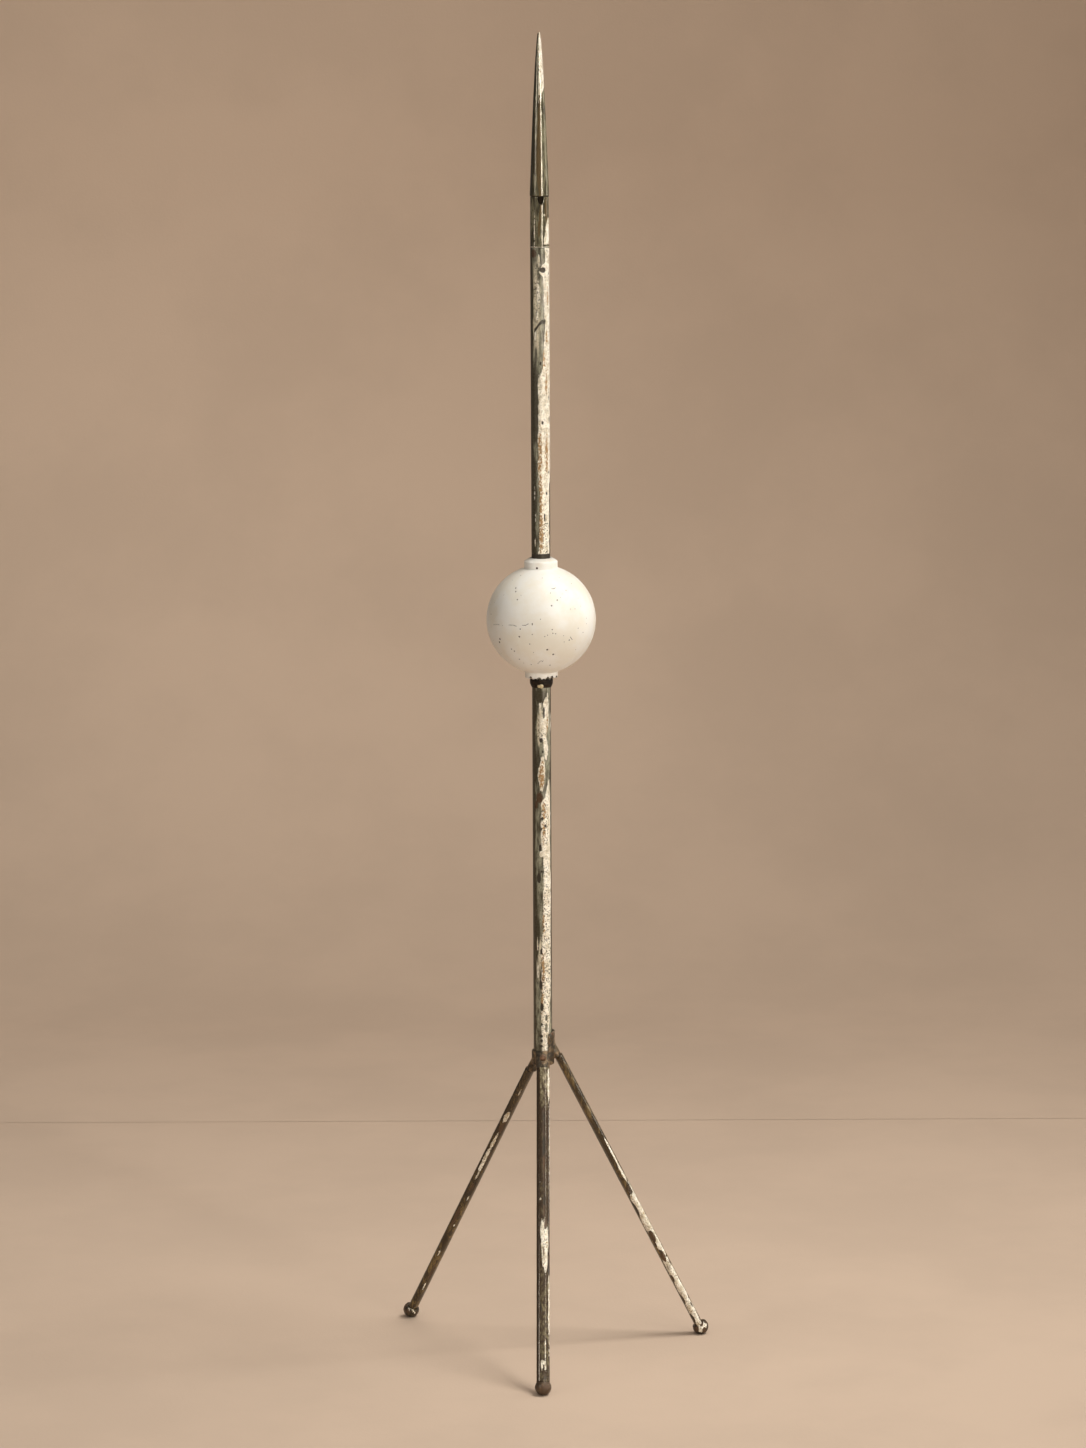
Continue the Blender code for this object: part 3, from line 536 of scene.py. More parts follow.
def worn_paint(name, seed, coat=COAT, coat_dark_and_shade=COAT_DARK_AND_SHADE, gloss=0.29):
    """Cream paint over an older coat over bare iron, each edge torn along its own layer."""
    look, tree, shader = new_material(name)
    torn = calc(tree, "MULTIPLY_ADD", grain(tree, 0.0019, 4.0, seed=seed), 2.2, -1.1)
    cream_depth = calc(tree, "ADD", layer(tree, "cream"), torn)
    bare_depth = calc(tree, "MULTIPLY_ADD", torn, 0.7, layer(tree, "bare"))
    streaks = grain(tree, 0.0024, 4.0, (1.0, 1.0, 0.16), seed + 1.7)
    patches = grain(tree, 0.014, 4.0, (1.0, 1.0, 0.45), seed + 2.9)
    tone = calc(tree, "MULTIPLY_ADD", streaks, 0.55, calc(tree, "MULTIPLY", patches, 0.45))
    # The dark layer darkens the coat toward its dark colour: a darker coat in places, and painted shade along
    # the limbs of the tube, the legs and the point.
    dark = layer(tree, "dark")
    shade = calc(tree, "MULTIPLY_ADD", dark, -0.16, tone)
    wash = calc(tree, "MULTIPLY_ADD", dark, -0.3, tone)
    wash = calc(tree, "MULTIPLY_ADD", layer(tree, "pale"), 0.3, wash)
    freckles = grain(tree, 0.0015, 4.0, (1.0, 1.0, 0.6), seed + 5.2)
    stain = calc(tree, "MULTIPLY_ADD", freckles, 2.2, calc(tree, "MULTIPLY", layer(tree, "ochre"), 0.46))
    fresh = band(tree, grain(tree, 0.005, 5.0, seed=seed + 4.3), 0.34, 0.62)
    paint = cover(tree, CREAM_DIM, (fresh, CREAM), (band(tree, stain, 1.38, 1.5), OCHRE))
    rim = band(tree, calc(tree, "ABSOLUTE", calc(tree, "ADD", cream_depth, 0.28)), 0.34, 0.1)
    specks = band(tree, grain(tree, 0.0016, 3.0, seed=seed + 6.1), 0.53, 0.6)
    rusty = calc(tree, "ADD", patches, layer(tree, "rust"))
    metal = cover(tree, BARE, (band(tree, rusty, 0.66, 1.0), RUST))
    bare_share = band(tree, bare_depth, -0.1, 0.14)
    colour = cover(
        tree, coat_dark_and_shade,
        (band(tree, shade, 0.38, 0.6), coat),
        (calc(tree, "MULTIPLY", band(tree, dark, 0.5, 0.95), 0.85), coat_dark_and_shade),
        (band(tree, wash, 0.62, 0.86), CREAM_DIM),
        (band(tree, cream_depth, -0.1, 0.16), paint),
        (calc(tree, "MULTIPLY", rim, 0.55), coat_dark_and_shade),
        (calc(tree, "MULTIPLY", specks, layer(tree, "pepper")), coat_dark_and_shade),
        (band(tree, rusty, 1.05, 1.25), RUST_DEEP),
        (bare_share, metal),
    )
    fine = grain(tree, 0.0007, 2.0, seed=seed + 8.0)
    rough = calc(tree, "MULTIPLY_ADD", fine, 0.26, gloss - 0.13)
    rough = calc(tree, "MULTIPLY_ADD", bare_share, 0.25, rough)
    set_inputs(tree, shader, Base_Color=colour, Roughness=rough)
    warm_sheen(tree, shader)
    raised = calc(tree, "SUBTRACT", band(tree, cream_depth, -0.15, 0.2), bare_share)
    bump(tree, shader, calc(tree, "MULTIPLY_ADD", fine, 2 * gloss, raised), 0.00022)
    return look


leg_tree = leg_nodes()
for count, name in enumerate(("front", "left", "right")):
    leg_look = worn_paint(f"leg_{name}_paint", 11.0 + 5 * count, *LEG_COATS[name], gloss=LEG_GLOSS)
    corners = coordinates(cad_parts[f"leg_{name}"].data)
    foot_low, foot_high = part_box(f"foot_{name}")
    foot = (foot_low + foot_high) / 2
    foot.z = foot_high.z - (foot_high.x - foot_low.x) / 2
    top_ring = corners[corners[:, 2] > np.quantile(corners[:, 2], 0.6)].mean(0)
    up = (Vector(top_ring) - foot).normalized()
    reach = (corners - np.array(foot)) @ np.array(up)
    outward = Vector((foot.x - rod_axis.x, foot.y - rod_axis.y, 0.0)).normalized()
    across = Vector((-outward.y, outward.x, 0.0))
    through = up.cross(across)
    length = float(reach.max() - reach.min())
    settings = {"Length": length, "Width": LEG_WIDTH, "Thickness": LEG_THICKNESS, "Relief": LEG_RELIEF,
                "Seed": 4.0 + count, "Finish": leg_look}
    bar = run_nodes(leg_tree, settings)
    turn = Matrix((across, through, up)).transposed().to_4x4()
    centre = foot + up * float(reach.min() + length / 2)
    bar.transform(Matrix.Translation(centre) @ turn)
    points = coordinates(bar)
    along, turned = round_the_bar(points, foot, up, view_back)
    radius = 1000 * (LEG_WIDTH + LEG_THICKNESS) / 4
    down = 1000 * (float(reach.max()) - along)
    around = turned * radius
    ragged = lumps(points, 0.005, 20 + count, 3, 2.0)
    hidden = soft_step(np.abs(turned), 1.45, 1.9)
    cream = spots(down, around, LEG_CREAM[name], radius) + 0.7 * ragged
    cream = mixed(hidden, cream, 1.6 * lumps(points, 0.011, 30 + count, 3, 2.5) - 1.1)
    bare = spots(down, around, LEG_CHIPS[name], radius) + 0.5 * ragged
    bare = mixed(hidden, bare, 1.7 * lumps(points, 0.009, 40 + count, 3, 2.0) - 0.9)
    top_share = (1 - soft_step(down, 22, 48)) * (name == "front")
    # The left limb of each leg, as seen from the front, is darkened through the dark layer: painted shade.
    painted_leg_limb_shade = soft_step(-around, 3.6, 5.2) * (1 - hidden)
    grime, grime_lost = LEG_GRIME[name]
    grime = grime * (1 - top_share) - grime_lost * soft_step(down, 160, 230)
    rust = 0.3 + 0.3 * lumps(points, 0.02, 50 + count)
    paint_relief(bar, cream, bare, 0.00008, 0.00022, ochre=0.35 * soft_step(ragged, 0.0, 0.6),
                 dark=mixed(painted_leg_limb_shade, grime, 1.0), pale=0.5 * top_share, pepper=0.5, rust=rust)
    add_piece(f"leg_{name}_bar", bar, leg_look, f"leg_{name}")


# Feet: a forged ball at the end of each leg, flat underneath. The iron is dark and blotched with
# rust, and the back two keep scraps of cream paint.

FOOT_CELL = 0.0004
FOOT_PITTING = 0.00012
# Scraps of cream and bare patches, as seen: millimetres to the right of and above the ball's middle,
# half width, half height.
FOOT_CREAM = {
    "front": [],
    "left": [(0.4, 3.4, 1.3, 2.6), (2.2, 0.6, 1.2, 2.6), (-2.2, 1.0, 1.0, 2.0), (4.0, -2.6, 0.8, 1.2)],
    "right": [(-1.5, 2.0, 2.6, 7.0), (2.6, 1.4, 2.2, 4.4), (0.6, -2.6, 1.6, 3.4), (5.2, 1.2, 1.4, 3.0)],
}
FOOT_BARE = {
    "front": [],
    "left": [(-3.4, -0.6, 1.3, 2.4)],
    "right": [(0.6, 4.2, 2.2, 3.2), (-4.4, -2.0, 2.3, 3.6), (4.0, -3.2, 2.3, 3.4)],
}


def foot_spots(seen, marks):
    """Inside a mark on a foot's front above 0, outside below 0, in millimetres."""
    aside, above, near = seen.T
    found = np.full(len(seen), OUTSIDE)
    for mark_aside, mark_above, half_width, half_height in marks:
        far = np.hypot((aside - mark_aside) / half_width, (above - mark_above) / half_height)
        found = np.maximum(found, np.where(near > 0, (1 - far) * half_width * 1.5, OUTSIDE))
    return found


for count, name in enumerate(("front", "left", "right")):
    foot_low, foot_high = (np.array(corner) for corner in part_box(f"foot_{name}"))
    ball = even_copy(f"foot_{name}", FOOT_CELL)
    points = coordinates(ball)
    seen = 1000 * (points - (foot_low + foot_high) / 2) @ np.array((view_right, view_up, view_back)).T
    ragged = lumps(points, 0.003, 60 + count)
    cream = foot_spots(seen, FOOT_CREAM[name]) + 0.4 * ragged
    bare = 1.2 * lumps(points, 0.006, 65 + count) - 0.1 - 2.0 * soft_step(cream, -0.5, 0.5)
    bare = np.maximum(bare, foot_spots(seen, FOOT_BARE[name]) + 0.3 * ragged)
    sink = FOOT_PITTING * soft_step(lumps(points, 0.004, 70 + count), -0.6, 0.6)
    points = points - coordinates(ball, "normal") * sink[:, None]
    move_points(ball, np.clip(points, foot_low, foot_high))
    set_layers(ball, cream=cream, bare=bare, ochre=0.2, dark=0.7, pale=0.0, pepper=0.4, rust=0.4)
    foot_look = worn_paint(f"foot_{name}_paint", 31.0 + 4 * count, *FOOT_COATS[name])
    add_piece(f"foot_{name}_ball", ball, foot_look, f"foot_{name}")


# Tube: one long iron pipe, grey-green, with a cream coat down its right side that has peeled into
# long tongues, gone ochre where rust has bled through it, and flaked off in small dark chips.

TUBE_RADIUS = (tube_high.x - tube_low.x) / 2
TUBE_BORE = 0.0085
TUBE_ROWS = 860
TUBE_SIDES = 96

# The cream coat's left and right borders on the way down: height in metres, then millimetres from the
# tube's middle as seen from the front. A border past 10 has gone round the side.
TUBE_CREAM = (
    ((1.193, 5.5, 17), (1.178, 5.2, 17), (1.173, 1.4, 17), (1.1673, -0.8, 18), (1.163, 3.2, 18),
     (1.127, 4.4, 17),
     (1.114, 5.6, 15), (1.0885, 4.4, 14), (1.077, 2.6, 13), (1.0713, -0.4, 12), (1.0626, -1.9, 12),
     (1.0496, -2.7, 11), (1.017, -1.8, 11), (1.0, -2.3, 12), (0.963, -2.9, 11), (0.945, -2.0, 9.4),
     (0.924, -1.0, 9.0), (0.9, -1.4, 8.9), (0.877, -2.0, 8.9), (0.866, -4.5, 8.8)),
    ((0.7162, 4.6, 6.0), (0.713, 3.0, 7.2), (0.7091, 1.6, 7.4), (0.6938, 0.8, 7.4), (0.686, -2.2, 7.2),
     (0.674, -2.2, 5.6), (0.67, 0.6, 5.6), (0.66, 2.2, 7.0), (0.6507, 3.8, 5.8), (0.647, 4.6, 5.4)),
    ((0.71, -2.4, -0.6), (0.7, -2.6, 0.4), (0.686, -2.6, 1.0), (0.672, -2.2, 1.0)),
    ((0.6521, -1.2, 2.0), (0.644, -2.4, 3.0), (0.6324, -4.3, 3.6), (0.626, -4.0, 3.4), (0.6205, -2.4, 2.6),
     (0.615, -2.0, 1.2)),
    ((0.627, 6.4, 7.6), (0.615, 5.0, 8.2), (0.6076, 3.2, 8.6), (0.604, -0.8, 8.8), (0.58, -1.2, 8.6),
     (0.5576, -1.2, 8.2), (0.548, 0.8, 8.6), (0.5361, 1.4, 8.8), (0.5215, 1.6, 9.0), (0.4849, 0.4, 9.0),
     (0.46, 0.0, 8.8), (0.4381, -0.6, 8.8), (0.4092, -1.6, 8.6), (0.3579, -1.6, 7.0), (0.343, -1.0, 7.2),
     (0.3285, -1.4, 6.4), (0.32, -2.0, 6.0)),
)

# Scraps of cream beside the main coat, and chips through it: height in metres, millimetres to the right
# of the middle, half width and half height in millimetres.
TUBE_SCRAPS = (
    (1.15, -2.0, 1.3, 13), (1.138, -1.2, 1.6, 9), (1.18, -1.0, 1.2, 6), (1.1225, -3.0, 1.2, 5),
    (1.102, -4.8, 1.0, 6), (0.934, -6.2, 0.5, 5), (0.908, -5.6, 0.5, 6), (0.88, -5.8, 0.4, 5),
    (0.5467, -0.8, 2.0, 3.6), (0.448, -5.2, 0.9, 7), (0.42, -5.0, 1.0, 8), (0.337, 2.6, 4.0, 9),
    (0.718, 6.6, 0.9, 3.0), (0.69, 9.2, 0.6, 9),
)
TUBE_CHIPS = (
    (0.8672, 0.0, 34.0, 2.7), (1.17, 3.2, 3.4, 3.0), (1.1658, 9.2, 1.0, 1.2), (1.0093, 2.3, 1.3, 1.9),
    (0.9342, 6.2, 1.0, 1.8),
    (0.9088, 4.1, 0.8, 4.0), (0.6998, 2.4, 1.1, 6.2), (0.67, -0.6, 2.1, 2.5), (0.6574, 1.0, 1.2, 1.6),
    (0.5849, 0.3, 1.5, 2.0), (0.5772, 3.5, 1.3, 1.6), (0.5554, -1.8, 1.1, 1.5), (0.5203, -3.6, 2.2, 5.5),
    (0.4398, -1.3, 1.2, 3.2), (0.4037, -2.0, 1.7, 5.6), (0.3791, -1.0, 1.8, 4.4), (0.36, -1.0, 1.1, 1.6),
    (0.347, -1.8, 2.0, 1.8), (0.342, -1.5, 1.6, 1.7), (0.336, -2.0, 2.0, 1.6), (0.553, -2.2, 1.4, 3.6),
    (1.1161, 5.3, 0.6, 2.2), (1.072, 0.4, 1.2, 2.2), (0.94, 9.3, 0.7, 6.0), (0.47, 4.0, 0.8, 1.4),
    (1.035, 8.9, 0.8, 3.0), (1.012, 9.2, 0.7, 4.0), (0.956, 8.6, 0.7, 2.4),
)
TUBE_CRACK = ((1.1055, -6.2), (1.109, -3.6), (1.113, -1.2), (1.1161, 2.5), (1.115, 4.6))
CRACK_HALF_WIDTH = 1.9
# Grey gaps in the cream, then where the coats are ochre, dark, pale, rusty and peppered with specks.
TUBE_GREY = ((1.0764, -1.0, 4.0, 18), (0.6738, 8.4, 1.8, 8), (0.3671, 3.8, 1.5, 3.1), (0.3562, 3.8, 1.7, 4.2),
             (1.148, 2.2, 1.6, 12))
TUBE_OCHRE = ((1.075, 3.3, 2.4, 12), (1.0525, 6.5, 2.0, 14), (0.975, -0.8, 3.0, 30), (0.975, 6.6, 2.4, 26),
              (0.93, -0.4, 2.6, 32), (0.895, 0.2, 3.0, 28), (0.6324, 0.0, 3.6, 17), (0.593, 2.2, 2.2, 12),
              (0.57, 2.2, 2.0, 14), (0.47, 1.2, 1.6, 16), (0.422, 0.6, 2.2, 18), (0.39, -0.8, 1.8, 22),
              (1.14, 8.0, 1.5, 14), (1.1, 7.0, 1.5, 10), (0.685, 6.0, 1.2, 14))
# The dark marks on the left side and past the right limb are partly a darker coat and partly painted shade.
TUBE_DARK_AND_SHADE = ((1.03, -6.0, 5.4, 48), (0.717, 0.0, 8.0, 8), (0.64, -6.6, 2.2, 18),
             (0.46, -6.2, 3.6, 26), (0.94, -6.4, 3.4, 40), (0.88, -6.2, 2.6, 16),
             (0.7, -7.0, 2.6, 12), (0.59, 12.0, 2.6, 150))
TUBE_PALE = ((1.13, -4.5, 7.0, 60), (0.43, -3.5, 4.0, 30), (0.68, -3.0, 3.0, 20))
TUBE_RUST = ((1.1873, -6.0, 4.0, 5.0), (0.6078, -2.6, 4.8, 7.5), (0.6, -6.0, 2.4, 6.0))
TUBE_PEPPER = ((0.43, 4.0, 9.0, 120), (0.58, 3.0, 6.0, 30), (0.675, 0.5, 5.0, 10),
               (0.89, 5.0, 5.0, 24), (1.15, -3.0, 5.0, 40), (0.69, -6.0, 5.0, 24))


def borders(height, around, rows, radius, scale=1.0, above=0.0):
    """Inside a strip above 0, outside below 0, in millimetres; scale is how many one unit of around is."""
    levels = [row[0] for row in rows][::-1]
    left, right = (np.interp(height, levels, [arc(row[i], radius) for row in rows][::-1]) for i in (1, 2))
    ends = np.minimum(rows[0][0] + above - height, height - rows[-1][0]) * 1000
    return np.minimum(np.minimum(around - left, right - around) * scale, ends)


def spots_at(height, around, marks, radius):
    """Like spots, with heights in metres."""
    return spots(-height * 1000, around, [(-level * 1000, *rest) for level, *rest in marks], radius)


def soft_spots(height, around, marks, radius):
    """1 in the middle of each mark, fading to 0 at its edge."""
    found = np.zeros(len(height))
    for level, across, half_width, half_height in marks:
        far = np.hypot((around - arc(across, radius)) / half_width, (height - level) * 1000 / half_height)
        found = np.maximum(found, soft_step(1.35 - far, 0.0, 0.9))
    return found


def turned_skin(name, profile, sides, closed):
    """A turned mesh about the rod's axis; the profile runs down the outside, and back up inside if closed."""
    profile = np.array(profile)
    angles = np.arange(sides) * 2 * math.pi / sides
    rings = np.empty((len(profile), sides, 3))
    rings[:, :, 0] = rod_axis.x + profile[:, :1] * np.cos(angles)
    rings[:, :, 1] = rod_axis.y + profile[:, :1] * np.sin(angles)
    rings[:, :, 2] = profile[:, 1:]
    points = rings.reshape(-1, 3).tolist()
    faces = []
    count = len(profile)
    for ring in range(count if closed else count - 1):
        upper = ring * sides
        lower = (ring + 1) % count * sides
        for side in range(sides):
            after = (side + 1) % sides
            faces.append((upper + side, lower + side, lower + after, upper + after))
    if not closed:
        points.append((rod_axis.x, rod_axis.y, profile[0, 1]))
        points.append((rod_axis.x, rod_axis.y, profile[-1, 1]))
        for side in range(sides):
            after = (side + 1) % sides
            faces.append((len(points) - 2, side, after))
            faces.append((len(points) - 1, (count - 1) * sides + after, (count - 1) * sides + side))
    mesh = bpy.data.meshes.new(name)
    mesh.from_pydata(points, [], faces)
    mesh.update()
    return mesh


def round_the_rod(mesh):
    """Each point of a turned mesh, its height, its turn from the front and its distance from the axis."""
    points = coordinates(mesh)
    aside, back = points[:, 0] - rod_axis.x, points[:, 1] - rod_axis.y
    return points, points[:, 2].copy(), np.arctan2(aside, -back), np.hypot(aside, back)


profile = [(TUBE_RADIUS, z) for z in np.linspace(tube_high.z, tube_low.z, TUBE_ROWS)]
profile += [(TUBE_BORE, z) for z in np.linspace(tube_low.z, tube_high.z, 12)]
tube = turned_skin("tube", profile, TUBE_SIDES, closed=True)
points, height, turned, spread = round_the_rod(tube)
radius = TUBE_RADIUS * 1000
around = turned * radius
outer = spread > (TUBE_RADIUS + TUBE_BORE) / 2
hidden = soft_step(np.abs(around), 15.0, 20.0)
long_lumps = lumps(points, 0.006, 80, 4, 2.2)
small_lumps = lumps(points, 0.0024, 81, 3, 1.4)
ragged = 0.9 * long_lumps + 0.5 * small_lumps
cream = spots_at(height, around, TUBE_SCRAPS, radius)
for rows in TUBE_CREAM:
    cream = np.maximum(cream, borders(height, around, rows, radius))
grey = spots_at(height, around, TUBE_GREY, radius)
cream = np.minimum(cream + ragged, -grey - 0.3 * ragged)
behind = 2.4 * lumps(points, 0.016, 82, 4, 4.0) - 0.5 + 0.6 * small_lumps
cream = np.where(outer, mixed(hidden, cream, behind), OUTSIDE)
crack_around = [arc(across, radius) for level, across in TUBE_CRACK]
crack_level = np.interp(around, crack_around, [level for level, across in TUBE_CRACK])
crack = np.minimum(around - crack_around[0], crack_around[-1] - around)
crack = np.minimum(CRACK_HALF_WIDTH - np.abs(height - crack_level) * 1000, crack) + 0.3 * small_lumps
bare = np.maximum(spots_at(height, around, TUBE_CHIPS, radius) + 0.35 * small_lumps, crack)
stray = 2.6 * lumps(points, 0.0052, 83, 2, 1.5) - 1.75
bare = np.maximum(bare, np.where(hidden > 0.5, stray, stray - 0.35))
bare = np.where(outer, bare, 1.0)
# Both limbs, as seen from the front, are darkened through the dark layer: painted shade.
painted_limb_shade = np.maximum(soft_step(-around, 6.8, 9.6), soft_step(around, 10.6, 12.0)) * (1 - hidden)
ochre, dark, pale, rust, pepper = (
    soft_spots(height, around, marks, radius)
    for marks in (TUBE_OCHRE, TUBE_DARK_AND_SHADE, TUBE_PALE, TUBE_RUST, TUBE_PEPPER)
)
ochre = np.maximum(ochre, hidden * soft_step(long_lumps, 0.1, 0.6))
paint_relief(tube, cream, bare, 0.0001 * outer, 0.00016 * outer, ochre=ochre,
             dark=np.maximum(dark, 0.95 * painted_limb_shade), pale=pale, pepper=np.maximum(pepper, 0.35), rust=rust)
add_piece("tube_pipe", tube, worn_paint("tube_paint", 51.0), "rod_tube")


# Cup: a black iron sleeve flared at its mouth, which is torn all round. It is pinned to the tube and
# the ball's lower neck sits on it; the pin's two-lobed head has kept its cream paint.

CUP_CELL = 0.00034
CUP_ROUGHNESS = 0.00018
CUP_COLOURS = {"brown": (0.02, 0.012, 0.008), "dark": (0.004, 0.003, 0.003),
               "red": (0.055, 0.024, 0.012), "tan": (0.05, 0.032, 0.02)}
PIN_CELL = 0.0002
PIN_ROUGHNESS = 0.00005
PIN_COLOURS = {"brown": (0.8, 0.7, 0.47), "dark": (0.48, 0.37, 0.2),
               "red": (0.66, 0.5, 0.28), "tan": (0.9, 0.83, 0.66)}
cup_mesh = even_copy("ball_support", CUP_CELL)
roughen(cup_mesh, CUP_ROUGHNESS, 90)
cup_look = cast_iron("cup_iron", 4.0, specular=0.2, **CUP_COLOURS)
add_piece("cup", cup_mesh, cup_look, "ball_support")
pin_mesh = even_copy("support_pin", PIN_CELL)
roughen(pin_mesh, PIN_ROUGHNESS, 92)
add_piece("pin", pin_mesh, cast_iron("pin_paint", 5.0, **PIN_COLOURS), "support_pin")


# Glass ball: blown milk glass, cream with age, hollow, with a short neck above and below that the
# tube runs through. Pits and hairlines have taken dirt, and the lower neck's edge is chipped.

ball_low, ball_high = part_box("glass_ball")
BALL_RADIUS = (ball_high.x - ball_low.x) / 2
BALL_WALL = 0.0035
NECK_RADIUS = 0.0176
NECK_BORE_RADIUS = 0.011
NECK_ROUND = 0.0014
NECK_SLOPE = 0.003
NECK_LAND = 0.0006
NECK_FILLET = 0.0005
NECK_BOTTOM_DROP = 0.0622
BALL_SIDES = 180
BALL_RINGS = 150
GLASS = (0.8, 0.765, 0.69)
GLASS_DIM = (0.76, 0.695, 0.575)
GLASS_DIRT = (0.055, 0.022, 0.007)
GLASS_BROKEN = (0.045, 0.03, 0.02)
GLASS_FRECKLE = (0.42, 0.3, 0.18)
NECK_CHIP = (-0.0043, -0.0171, 0.0574)
NECK_CHIP_SIZE = 0.0011
ball_centre = Vector((rod_axis.x, rod_axis.y, ball_low.z + NECK_BOTTOM_DROP))

# Pits on the front, as seen: millimetres to the right of and above the ball's middle, then radius.
PITS = (
    (-26.8, 32.0, 0.75), (-26.8, 28.3, 0.75), (-25.1, 19.7, 0.7), (-53.0, 5.0, 0.6), (-54.0, 15.4, 0.45),
    (-49.6, 17.4, 0.45), (-21.6, 45.8, 0.5), (-30.0, 40.8, 0.4), (-39.4, 24.9, 0.4), (-21.2, 24.2, 0.4),
    (16.9, 19.1, 0.7), (10.9, 13.1, 0.8), (26.2, 29.6, 0.55), (9.7, 26.6, 0.5), (12.6, 30.8, 0.45),
    (14.2, 31.4, 0.4), (22.1, 25.8, 0.4), (20.1, 21.9, 0.4), (41.8, 13.1, 0.45), (35.7, 10.0, 0.45),
    (30.9, 9.7, 0.4), (39.0, 21.5, 0.4), (47.8, 0.5, 0.45), (47.8, -5.3, 0.45), (39.0, -10.3, 0.45),
    (44.1, -14.6, 0.5), (29.6, -22.9, 0.7), (24.2, -24.9, 0.45), (23.5, -18.4, 0.4), (11.6, -12.1, 0.6),
    (12.3, -16.0, 0.6), (15.1, -16.4, 0.55), (6.6, -17.9, 0.5), (3.9, -19.4, 0.5), (-9.4, -5.8, 0.6),
    (-9.4, -6.9, 0.6), (-9.4, -17.1, 0.55), (-22.1, -11.4, 0.6), (-23.0, -19.4, 0.85), (-43.6, -21.5, 1.05),
    (-44.0, -24.8, 1.05), (-12.1, -27.2, 0.6), (-31.3, -32.2, 0.6), (-28.2, -34.4, 0.75), (-42.1, -36.4, 0.4),
    (6.3, -33.0, 0.95), (12.7, -37.9, 0.95), (-23.0, -42.8, 0.65), (-18.5, -46.8, 0.45), (-10.5, -48.5, 0.6),
    (9.3, -49.1, 0.7), (-32.0, -44.1, 0.4), (-0.9, -1.2, 0.5), (-50.3, -22.5, 0.4), (-54.3, -13.0, 0.4),
    (36.5, -32.5, 0.4), (19.0, 43.5, 0.4), (1.2, 42.8, 0.4), (32.0, 37.0, 0.45), (-8.0, -36.0, 0.4),
)
HAIRLINES = (
    ((-50.3, -6.3), (-46.2, -6.0), (-43.6, -6.9)),
    ((-40.8, -7.3), (-40.0, -7.5)),
    ((-34.0, -7.0), (-29.0, -7.2), (-26.6, -8.3), (-25.4, -8.6)),
    ((-19.6, -7.6), (-16.4, -7.6), (-14.6, -6.4), (-13.0, -5.9)),
    ((-3.6, -47.5), (-1.5, -45.5), (-0.2, -44.2), (1.4, -45.5), (2.3, -43.5)),
    ((10.9, 31.0), (13.0, 31.4), (15.6, 32.4)),
    ((30.5, -19.5), (32.5, -22.0), (33.5, -22.4)),
)
HAIRLINE_RADIUS = 0.34
HAIRLINE_STEP = 0.55
BACK_PITS = 55
PIT_DEPTH = 0.3
# Bites out of the lower neck's edge: degrees round from +X, half width in degrees, height in metres.
NECK_BITES = ((-144, 4, 0.001), (-130, 8, 0.003), (-113, 6, 0.0015), (-98, 8, 0.0026), (-82, 5, 0.0013),
              (-67, 8, 0.0029), (-50, 7, 0.0036), (-38, 5, 0.0012), (-24, 9, 0.0028), (-8, 5, 0.0012),
              (38, 8, 0.0016), (92, 6, 0.001), (150, 10, 0.0018))
NECK_BITE_REACH = 0.004


def bend(middle, level, radius, start, end, steps):
    """Part of a circle in a profile, from one angle to another."""
    return [(middle + radius * math.cos(angle), level + radius * math.sin(angle))
            for angle in np.linspace(start, end, steps + 1)]


def ball_profile():
    """Down the outside from the upper neck to the lower one, then up inside."""
    top, middle, bottom = ball_high.z, ball_centre.z, ball_low.z
    rim = top - NECK_SLOPE
    profile = [(NECK_BORE_RADIUS + NECK_LAND, top)]
    tilt = math.atan2(NECK_SLOPE, NECK_RADIUS - NECK_BORE_RADIUS - NECK_LAND)
    profile += bend(NECK_RADIUS - NECK_ROUND, rim - NECK_ROUND, NECK_ROUND, math.pi / 2 - tilt, 0, 6)
    start = math.acos((NECK_RADIUS + NECK_FILLET) / BALL_RADIUS)
    meet = BALL_RADIUS * math.sin(start)
    profile += [(NECK_RADIUS, z)
                for z in np.linspace(rim - NECK_ROUND - 0.0004, middle + meet + NECK_FILLET, 6)]
    profile.append((NECK_RADIUS + NECK_FILLET * 0.3, middle + meet + NECK_FILLET * 0.45))
    profile += bend(0, middle, BALL_RADIUS, start, -start, BALL_RINGS)
    profile.append((NECK_RADIUS + NECK_FILLET * 0.3, middle - meet - NECK_FILLET * 0.45))
    low_round = NECK_ROUND * 0.6
    profile += [(NECK_RADIUS, z) for z in np.linspace(middle - meet - NECK_FILLET, bottom + low_round, 7)]
    profile += bend(NECK_RADIUS - low_round, bottom + low_round, low_round, 0, -math.pi / 2, 4)[1:]
    profile.append((NECK_BORE_RADIUS, bottom))
    inner = BALL_RADIUS - BALL_WALL
    inside = math.acos(NECK_BORE_RADIUS / inner)
    profile += bend(0, middle, inner, -inside, inside, 24)
    profile.append((NECK_BORE_RADIUS, top - NECK_LAND))
    return profile


def on_ball(aside, above):
    """The point of the ball's surface that is seen here from the front, in millimetres from its middle."""
    depth = math.sqrt(max(BALL_RADIUS**2 - (aside**2 + above**2) / 1e6, 0.0))
    return ball_centre + view_right * aside / 1000 + view_up * above / 1000 + view_back * depth


